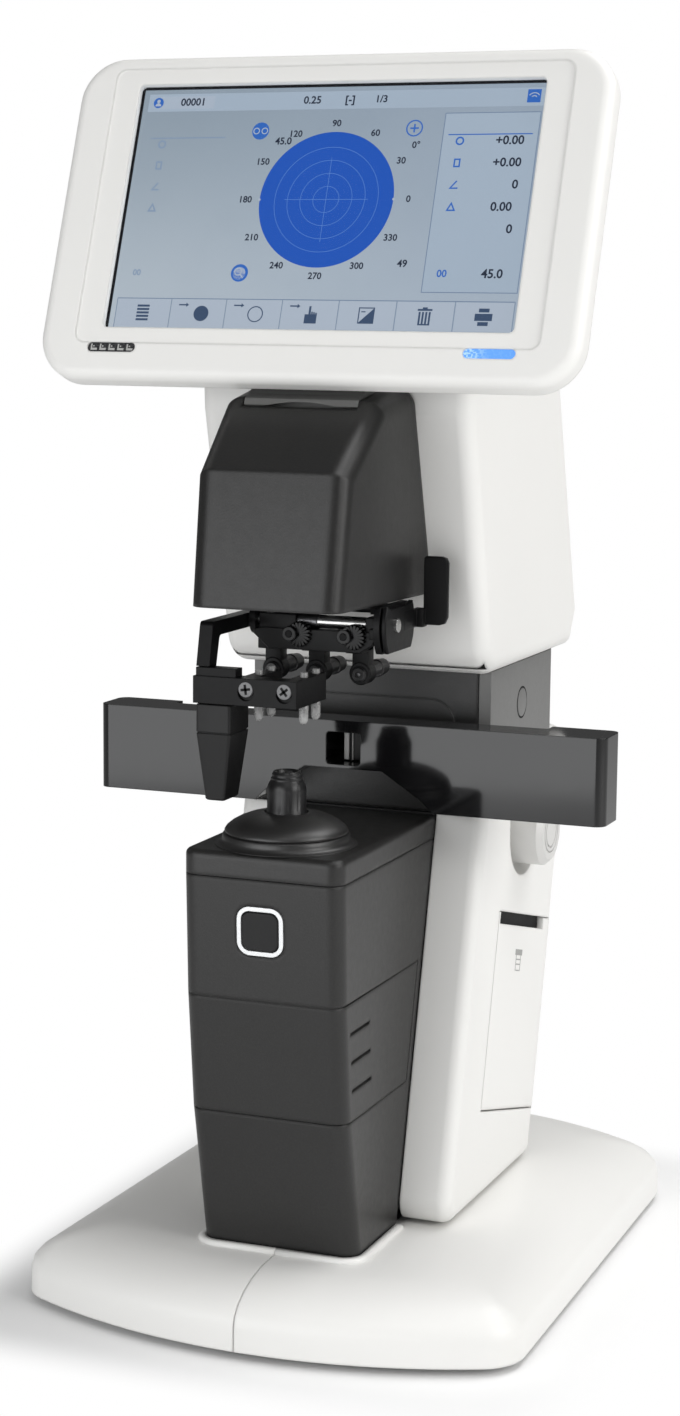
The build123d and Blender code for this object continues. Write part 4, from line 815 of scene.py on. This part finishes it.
def gripRing(look, z, left, right, front, rear, inset):
    left, right, front, rear = left + inset, right - inset, front + inset, rear - inset
    r, (cx, cy), hollow = look["corner"], look["penCentre"], look["hollow"] + inset
    start = -degrees(acos(max(-1, min(1, (right - cx) / hollow))))
    end = -180 - degrees(asin(max(-1, min(1, (rear - cy) / hollow))))
    ring = arcOf(left + r, rear - r, r, 90, 180, 4) + arcOf(left + r, front + r, r, 180, 270, 4)
    ring += arcOf(right - r, front + r, r, 270, 360, 4) + arcOf(cx, cy, hollow, start, end, 10)
    return [(x, y, z) for x, y in ring]


def buildGrip(look):
    box = (look["left"], look["right"], look["front"], look["rear"])
    low = (look["left"] + look["taper"][0], look["right"] - look["taper"][1], look["front"] + look["lean"],
           look["rear"] - 1)
    knee = look["knee"]
    top, foot = look["top"], look["foot"]
    grip = Sculpt().loop([gripRing(look, z, *sides, inset) for z, sides, inset in (
        (top, box, 0.2), (top - 0.3, box, 0), (knee + 0.3, box, 0), (knee + 0.1, box, 0.3), (knee - 0.2, box, 0.3),
        (knee - 0.4, box, 0), (foot + 0.5, low, 0), (foot, low, 0.5))])
    grip.lay("grip_shape", "presser", "gripBlack", "dark_plastic", 20, ["presser_grip"])


buildGrip(gripLook)

# Marker: front yoke with two knurled setting screws, collars on the pens and fine tips
markerLook = {"knobs": [-4.3, 16.6], "knobZ": 250.4, "teeth": 18, "toothDepth": 1.25,
              "pens": [-17, 0, 17], "penZ": 235.3,
              "leverCentre": (-62, 254.5), "leverRadius": 14.8, "leverLow": 245, "leverTop": 260.5}


def buildMarker(look):
    yoke = Sculpt()
    outline = [(-17, 251.8), (-19.5, 251), (-19.5, 249.4), (-13.8, 244.4), (21.5, 244.4), (26.2, 247.4),
               (27.6, 249.6), (27.6, 251.9), (24, 252)]
    yoke.plate(outline, "y", -71.4, -65.6, 0.4)
    for x in look["pens"]:
        yoke.block((x - 3.1, -59, 236), (x + 3.1, -53.2, 247), 0.35)
        yoke.block((x - 3.1, -65.9, 243.4), (x + 3.1, -53.2, 247.2), 0.35)
        yoke.spin([(2.7, -59.4), (3.9, -59.3), (4.2, -58.8), (4.2, -53.4), (3.9, -52.9), (2.7, -52.9)],
                  (x, 0, look["penZ"]), axis="y", steps=40)
    yoke.lay("marker_yoke", "marker_head", "markerBlack", "dark_plastic", 30, ["marker_bracket"])

    def knurl(angle, along):
        return look["toothDepth"] * (0.5 + 0.5 * cos(look["teeth"] * angle)) ** 6

    knobs = Sculpt()
    z = look["knobZ"]
    for x in look["knobs"]:
        knobs.spin([(0, -71), (2.7, -71), (2.7, -74.6), (2.45, -75), (1.35, -75), (1.15, -74.2),
                    (0, -74.2)], (x, 0, z), axis="y", steps=32)
        knobs.spin([(0, -70), (4.6, -70), (4.6, -72.6), (4.3, -73), (2.2, -73.1), (0, -73.1)],
                   (x + 2.8, 0, z - 0.3), axis="y", steps=144, dip=knurl)
    knobs.lay("marker_knobs", "marker_head", "knobBlack", "dark_plastic", 26)
    # hex sockets of the setting screws: near-black discs as painted shade of the hollow
    sockets = Sculpt()
    for x in look["knobs"]:
        sockets.spin([(0, -75.05), (1.3, -75.05), (1.35, -74.4), (0, -74.4)], (x, 0, z), axis="y", steps=6)
    sockets.lay("marker_knob_socket_shade", "marker_head", "recessShade", "dark_plastic", 30)

    sleeves = Sculpt()
    sleeves.spin([(0, -3.4), (2.7, -3.4), (2.8, -3.1), (2.8, 4), (2.6, 4.3), (0, 4.3)],
                 (0, -66.8, 254.5), axis="x", steps=32)
    sleeves.lay("marker_sleeve", "marker_head", "darkSteel", "steel", 32)
    ears = Sculpt()
    ears.block((23.2, -70.6, 250.4), (27.6, -64, 257.2), 0.5)
    ears.block((25.4, -72.6, 249.6), (29, -69.2, 253.4), 0.4)
    ears.block((-17.8, -70.4, 250), (-3.4, -64, 257), 0.5)
    ears.lay("marker_ears", "marker_head", "markerBlack", "dark_plastic", 30)

    pens = Sculpt()
    for x in look["pens"]:
        place = (x, 0, look["penZ"])
        pens.spin([(0, -60.3), (1.25, -60.3), (1.3, -60.95), (2.1, -60.98), (2.35, -60.75), (2.4, -60.3),
                   (2.75, -60.1), (2.8, -59.6), (2.8, -59), (2.35, -58.7), (2.35, -53.8), (3.25, -53.5),
                   (3.3, -51.4), (3, -51.1), (3, -43.6), (3.35, -43.3), (3.35, -41), (2.9, -40.6),
                   (2.9, -36.2), (2.3, -35.6), (1, -35.5), (1, -31.4), (0, -31.3)], place, axis="y", steps=40)
    pens.lay("marker_pen_bodies", "marker_head", "noseGloss", "dark_plastic", 32, ["marker_pens"])
    tips = Sculpt()
    for x in look["pens"]:
        tips.spin([(0, -58.6), (0.9, -58.6), (0.95, -60.2), (0.5, -60.6), (0, -60.65)], (x, 0, look["penZ"]),
                  axis="y", steps=24)
        coil = [(x + 2.95 * cos(a * 0.7), -51 + a * 0.135, look["penZ"] + 2.95 * sin(a * 0.7))
                for a in range(54)]
        tips.pipe(coil, 0.22, 6)
    tips.lay("marker_pen_tips", "marker_head", "darkSteel", "steel", 40)

    rivets = Sculpt().spin([(0, 34.4), (1.2, 34.35), (2, 34.1), (2.35, 33.6), (2.4, 31.2), (0, 31.2)],
                           (0.1, -66.8, 254.5), axis="x", steps=32)
    rivets.lay("marker_rivet", "marker_head", "turnedSteel", "steel", 40)
    small = Sculpt()
    small.spin([(0, 32), (0.7, 31.95), (1, 31.6), (1.05, 30.9), (0, 30.9)], (0, -71, 247.6), axis="x",
               steps=20)
    small.lay("marker_pin_head", "marker_carriage", "turnedSteel", "steel", 40)

    # outer disc, arm and paddle of the lever in one moulding
    lever = Sculpt()
    y, z = look["leverCentre"]
    low = degrees(asin((look["leverLow"] - z) / look["leverRadius"]))
    disc = arcOf(y, z, look["leverRadius"], low, 30, 14) + [(y + 9, look["leverTop"]), (y - 9, look["leverTop"])]
    disc += arcOf(y, z, look["leverRadius"], 150, 180 - low, 14)
    lever.plate(disc, "x", 31.6, 33.4, 0.35)
    lever.block((31.7, -58, 251.6), (33.5, -41.2, 258.4), 0.5)
    lever.block((31.7, -45.4, 251.6), (36, -41, 258.4), 0.5)
    paddle = [(35.2, 252.4), (41.3, 252.4), (43.3, 253), (44.3, 255.2), (44.4, 275), (43.6, 276.8), (42, 277.3),
              (36, 277.3), (35.2, 276.6)]
    lever.plate(paddle, "y", -43.5, -40.9, 0.5)
    lever.lay("lever_shape", "marker_head", "markerBlack", "gloss_black", 30, ["marker_lever"])


buildMarker(markerLook)

# Carriage: its front plate is notched, so that the setting screws pass it as the pens swing down
carriageLook = {"notches": [(-7.4, 4.4), (13.5, 25.3)], "front": -73, "rear": -66.1, "low": 257, "high": 263}


def notchCarriage(look):
    piece = soften("marker_carriage", 30, "markerBlack", "marker_carriage")
    cuts = Sculpt()
    for left, right in look["notches"]:
        cuts.block((left, look["front"], look["low"]), (right, look["rear"], look["high"]), 0)
    cutter = cuts.lay("notch_cutter", "marker_carriage", "markerBlack", "steel")
    modifier = piece.modifiers.new("notches", "BOOLEAN")
    modifier.operation, modifier.solver, modifier.object = "DIFFERENCE", "EXACT", cutter
    evaluated = piece.evaluated_get(bpy.context.evaluated_depsgraph_get())
    mesh = bpy.data.meshes.new_from_object(evaluated)
    mesh.name = "marker_carriage_notched"
    piece.modifiers.clear()
    piece.data = mesh
    bpy.data.objects.remove(cutter)


notchCarriage(carriageLook)

# Table: scale strips and a dark backing seen in its slot; and a dark strip under the neck's apron, painted shadow
# down to the column cap
tableLook = {"stripX": (-3.2, -1.2), "stripY": (-22.6, -21.4), "stripZ": (196.9, 208.2)}


def buildTable(look):
    strips = Sculpt()
    (x0, x1), (y0, y1), (z0, z1) = look["stripX"], look["stripY"], look["stripZ"]
    strips.block((x0, y0, z0), (x1, y1, z1), 0.25)
    strips.block((x1 + 1.2, y0 + 0.2, z0), (x1 + 1.6, y1, z1), 0.1)
    strips.lay("slot_scale_strip", "lens_table", "knobWhite", "steel", 30)
    backs = Sculpt()
    backs.block((x1 + 0.2, y0 + 0.6, z0), (6.4, y1 + 0.6, z1), 0.2)
    backs.lay("slot_backing", "lens_table", "softBlack", "gloss_black", 30)
    # dark strip under the neck's apron: painted shadow down to the column cap
    apronShadow = Sculpt()
    apronShadow.block((-30, -12.9, 174.6), (30, -10.2, 177.3), 0.3)
    apronShadow.lay("apron_shadow_strip", "stand", "softBlack", "soft_black", 30)


buildTable(tableLook)


def joinNodes(tree, kinds, links):
    # new nodes by name and kind, then links as (from node, its output, to node, its input)
    made = {name: tree.nodes.new(kind) for name, kind in kinds.items()}
    for source, output, target, socket in links:
        tree.links.new(made[source].outputs[output], made[target].inputs[socket])
    return made


def repeatTree():
    # lays the modifier's own shape in rows: Count along Step, Rows along Row Step, from Start
    tree = bpy.data.node_groups.new("repeatInRows", "GeometryNodeTree")
    face = tree.interface
    face.new_socket("Geometry", in_out="OUTPUT", socket_type="NodeSocketGeometry")
    for name, kind in (("Shape", "Geometry"), ("Count", "Int"), ("Step", "Vector"), ("Rows", "Int"),
                       ("Row Step", "Vector"), ("Start", "Vector"), ("Finish", "Material")):
        face.new_socket(name, in_out="INPUT", socket_type="NodeSocket" + kind)
    joinNodes(tree, {
        "in": "NodeGroupInput", "out": "NodeGroupOutput", "row": "GeometryNodeMeshLine",
        "column": "GeometryNodeMeshLine", "alongRow": "GeometryNodeInstanceOnPoints",
        "alongColumn": "GeometryNodeInstanceOnPoints", "real": "GeometryNodeRealizeInstances",
        "coat": "GeometryNodeSetMaterial",
    }, [("in", "Count", "row", "Count"), ("in", "Step", "row", "Offset"), ("in", "Rows", "column", "Count"),
        ("in", "Row Step", "column", "Offset"), ("in", "Start", "column", "Start Location"),
        ("row", 0, "alongRow", "Points"), ("in", "Shape", "alongRow", "Instance"),
        ("column", 0, "alongColumn", "Points"), ("alongRow", 0, "alongColumn", "Instance"),
        ("alongColumn", 0, "real", 0), ("real", 0, "coat", 0), ("in", "Finish", "coat", "Material"),
        ("coat", 0, "out", 0)])
    return tree


rowTree = repeatTree()


def layRows(sculpt, name, body, finish, slotName, rows):
    # one shape repeated by the node tree above, then kept as plain mesh on its body
    shape = sculpt.lay(name + "_one", body, finish, slotName)
    sockets = {item.name: item.identifier for item in rowTree.interface.items_tree if item.in_out == "INPUT"}
    modifier = shape.modifiers.new("rows", "NODES")
    modifier.node_group = rowTree
    for key, value in rows.items():
        modifier[sockets[key]] = value if isinstance(value, int) else tuple(c * mm for c in value)
    modifier[sockets["Finish"]] = finishes[finish]
    evaluated = shape.evaluated_get(bpy.context.evaluated_depsgraph_get())
    mesh = bpy.data.meshes.new_from_object(evaluated)
    mesh.name = name
    single = shape.data
    shape.modifiers.clear()
    bpy.data.objects.remove(shape)
    bpy.data.meshes.remove(single)
    mesh.shade_smooth()
    mesh.set_sharp_from_angle(angle=radians(35))
    return addPiece(name, mesh, body, finish)


# Screws seen from behind: pan heads with a cross cut painted as near-black shade, in rows on the two leaning rear
# faces
rearScrews = {
    "cover": {"at": (-37, 89.07, 258), "lean": 16.81, "apart": (74, 73.1), "radius": 2.6},
    "sockets": {"at": (-34.6, 62.35, 48.8), "lean": -14, "apart": (53.2, 27.2), "radius": 1.9},
}


def buildRearScrews(look):
    for name, spot in look.items():
        place = Matrix.Translation(Vector(spot["at"])) @ Matrix.Rotation(radians(spot["lean"]), 4, "X")
        r = spot["radius"]
        head = Sculpt(place)
        head.spin([(0, -1), (r, -1), (r, 0.45), (r * 0.93, 0.8), (r * 0.72, 1.05), (0, 1.12)], axis="y",
                  steps=24)
        # cross cuts as near-black raised crosses: painted shade of the recess
        cross = Sculpt(place)
        for long, short in ((0.62 * r, 0.15 * r), (0.15 * r, 0.62 * r)):
            corners = rectangle(-long, -short, long, short)
            cross.loop([[(a, out, b) for a, b in corners] for out in (0.9, 1.16 + 0.01 * (long > short))])
        up = place.to_3x3() @ Vector((0, 0, spot["apart"][1]))
        rows = {"Count": 2, "Step": (spot["apart"][0], 0, 0), "Rows": 2, "Row Step": tuple(up),
                "Start": (0, 0, 0)}
        layRows(head, f"rear_screws_{name}", "stand", "darkSteel", "steel", rows)
        layRows(cross, f"rear_screw_cuts_{name}", "stand", "recessShade", "dark_plastic", rows)


buildRearScrews(rearScrews)

# Small marks and fittings: lamp reflectors with painted glints, printer sign, paper throat in painted shade, plug on
# the neck
fittingsLook = {"lampU": -81, "lampV": -54.4, "reflectors": 5, "reflectorStep": 3.55,
                 "plugPlace": (34.8, 214.2)}


def buildFittings(look):
    # light grey L-shaped marks on the lamp reflectors: the reflectors are real, their light grey is a painted glint
    reflector = Sculpt()
    u, v = look["lampU"], look["lampV"]
    for spots in ((u, v - 1.15, u + 2.5, v - 0.35), (u, v - 0.35, u + 0.55, v + 1.2),
                  (u + 0.9, v + 0.1, u + 1.4, v + 0.6)):
        reflector.loop([[onScreen(a, b, d) / mm for a, b in rectangle(*spots)] for d in (0.33, 0.46)])
    layRows(reflector, "lamp_reflectors", "screen", "glintGrey", "lamp_plastic",
            {"Count": look["reflectors"], "Step": (look["reflectorStep"], 0, 0), "Rows": 1,
             "Row Step": (0, 0, 0), "Start": (0, 0, 0)})

    # printer sign: a short strip of paper with lines on it
    sign = Sculpt()
    for spots in ((-8.2, 22.2, 0.6, 24.5), (-6.4, 20.3, -1.2, 20.8), (-6.2, 18.4, -1.4, 18.9),
                  (-6, 16, -1.6, 16.5), (-7, 16, -6.4, 22.2), (-1.2, 16, -0.6, 22.2)):
        sign.loop([[onDoor(a, b, out) / mm for a, b in rectangle(*spots)] for out in (50.03, 49.8)])
    sign.lay("printer_sign", "printer_door", "markGrey", "white_plastic")

    # paper throat: a thin near-black sheet in the door's slot, painted shade of its inside
    throat = Sculpt()
    throat.loop([[onDoor(a, b, out) / mm for a, b in rectangle(-31.3, 33.2, 24.7, 38.6)] for out in (47.4, 46.6)])
    throat.lay("paper_throat_shade", "stand", "recessShade", "grey_plastic")

    # plug on the neck's right side, with a dark ring round it as painted shade in the gap
    y, z = look["plugPlace"]
    plug = Sculpt()
    plug.spin([(0, 48.1), (5.5, 48.1), (5.5, 48.42), (5.2, 48.55), (0, 48.62)], (0, y, z), axis="x", steps=48)
    plug.lay("neck_plug", "stand", "neckGrey", "grey_plastic")
    # dark ring round the plug: painted shade in the gap
    gap = Sculpt().spin([(5.6, 48.2), (5.6, 48.33), (6.3, 48.33), (6.3, 48.2)], (0, y, z), axis="x", closedRound=True)
    gap.lay("neck_plug_gap_shade", "stand", "recessShade", "grey_plastic")


buildFittings(fittingsLook)
print("detail pieces made")

# Camera at the photograph's angle
cameraLook = {"place": (0.3705, -0.9720, 0.3722), "back": (0.36359, -0.91926, 0.15090), "roll": 0.54, "lens": 69.75,
              "sensor": 36, "clip": (0.05, 20)}


def buildCamera(look):
    back = Vector(look["back"]).normalized()
    across = Vector((0, 0, 1)).cross(back).normalized()
    up = back.cross(across)
    roll = radians(look["roll"])
    right = across * cos(roll) + up * sin(roll)
    top = up * cos(roll) - across * sin(roll)
    data = bpy.data.cameras.new("studioCamera")
    data.lens = look["lens"]
    data.sensor_width = look["sensor"]
    data.clip_start, data.clip_end = look["clip"]
    camera = linked("studioCamera", data)
    place = Matrix((right, top, back)).transposed().to_4x4()
    place.translation = Vector(look["place"])
    camera.matrix_world = place
    bpy.context.scene.camera = camera


studioLook = {
    "lamps": [
        {"name": "keyRight", "at": (1.25, -0.3, 0.7), "size": (0.8, 0.8), "power": 8.6, "tint": (1, 0.995, 0.985)},
        {"name": "frontSoft", "at": (-0.3, -0.98, 0.27), "size": (0.94, 0.58), "power": 4.6, "tint": (0.98, 0.99, 1)},
        {"name": "topSoft", "at": (0.5, 0.35, 1.4), "size": (0.9, 0.9), "power": 10.6, "tint": (1, 1, 1)},
        {"name": "frontTop", "at": (0.3, -0.75, 1.15), "size": (0.45, 0.35), "power": 1.3, "tint": (1, 1, 1)},
    ],
    "worldLight": 0.31, "worldGloss": 0.1, "floorShade": 0.9, "aim": (0, 0, 0.2),
    "shadowHalf": (80, 117), "shadowFade": (18, 52),
}


def buildStudio(look):
    for lamp in look["lamps"]:
        data = bpy.data.lights.new(lamp["name"], "AREA")
        data.shape = "RECTANGLE"
        data.size, data.size_y = lamp["size"]
        data.energy = lamp["power"]
        data.color = lamp["tint"]
        holder = linked(lamp["name"], data)
        holder.location = lamp["at"]
        holder.rotation_mode = "QUATERNION"
        holder.rotation_quaternion = (Vector(look["aim"]) - Vector(lamp["at"])).to_track_quat("-Z", "Y")

    world = bpy.data.worlds.new("paleStudio")
    bpy.context.scene.world = world
    world.use_nodes = True
    world.node_tree.nodes.clear()
    # mirrored rays see a dimmer room, so that dark plastics stay dark
    made = joinNodes(world.node_tree, {
        "out": "ShaderNodeOutputWorld", "seen": "ShaderNodeBackground", "lit": "ShaderNodeBackground",
        "mix": "ShaderNodeMixShader", "path": "ShaderNodeLightPath", "either": "ShaderNodeMath",
        "dimmer": "ShaderNodeMapRange",
    }, [("path", "Is Glossy Ray", "dimmer", "Value"), ("dimmer", 0, "lit", "Strength"),
        ("path", "Is Camera Ray", "either", 0), ("path", "Is Transmission Ray", "either", 1),
        ("either", 0, "mix", 0), ("lit", 0, "mix", 1), ("seen", 0, "mix", 2), ("mix", 0, "out", "Surface")])
    made["either"].operation = "MAXIMUM"
    for name in ("seen", "lit"):
        made[name].inputs["Color"].default_value = (1, 1, 1, 1)
    made["dimmer"].inputs["To Min"].default_value = look["worldLight"]
    made["dimmer"].inputs["To Max"].default_value = look["worldGloss"]

    # the floor keeps the shadow near the base and turns to plain white further out
    finish = Finish("paleFloor", colour=(look["floorShade"],) * 3, roughness=0.9, specular=0.1)
    across, along = finish.axis("X"), finish.axis("Y")
    halfWidth, halfDepth = look["shadowHalf"]
    beyondX = (across.absolute() - halfWidth * mm).atLeast(0)
    beyondY = (along.absolute() - halfDepth * mm).atLeast(0)
    reach = (beyondX.power(2) + beyondY.power(2)).power(0.5)
    near, far = look["shadowFade"]
    plain = finish.fade(reach, near * mm, far * mm)
    white = finish.node("ShaderNodeEmission", None, {"Color": (1, 1, 1), "Strength": 1})
    camera = finish.node("ShaderNodeLightPath", out="Is Camera Ray")
    mixed = finish.node("ShaderNodeMixShader", None, {0: plain * camera})
    holder = mixed.socket.node
    finish.tree.links.new(finish.shader.outputs[0], holder.inputs[1])
    finish.tree.links.new(white.socket, holder.inputs[2])
    finish.tree.links.new(mixed.socket, finish.output.inputs["Surface"])
    mesh = bpy.data.meshes.new("paleFloor")
    mesh.from_pydata([(-3, -3, 0), (3, -3, 0), (3, 3, 0), (-3, 3, 0)], [], [(0, 1, 2, 3)])
    mesh.materials.append(finish.material)
    floor = linked("pale_floor", mesh)


buildCamera(cameraLook)
buildStudio(studioLook)
bpy.context.scene.view_settings.view_transform = "Standard"

print("scene ready")
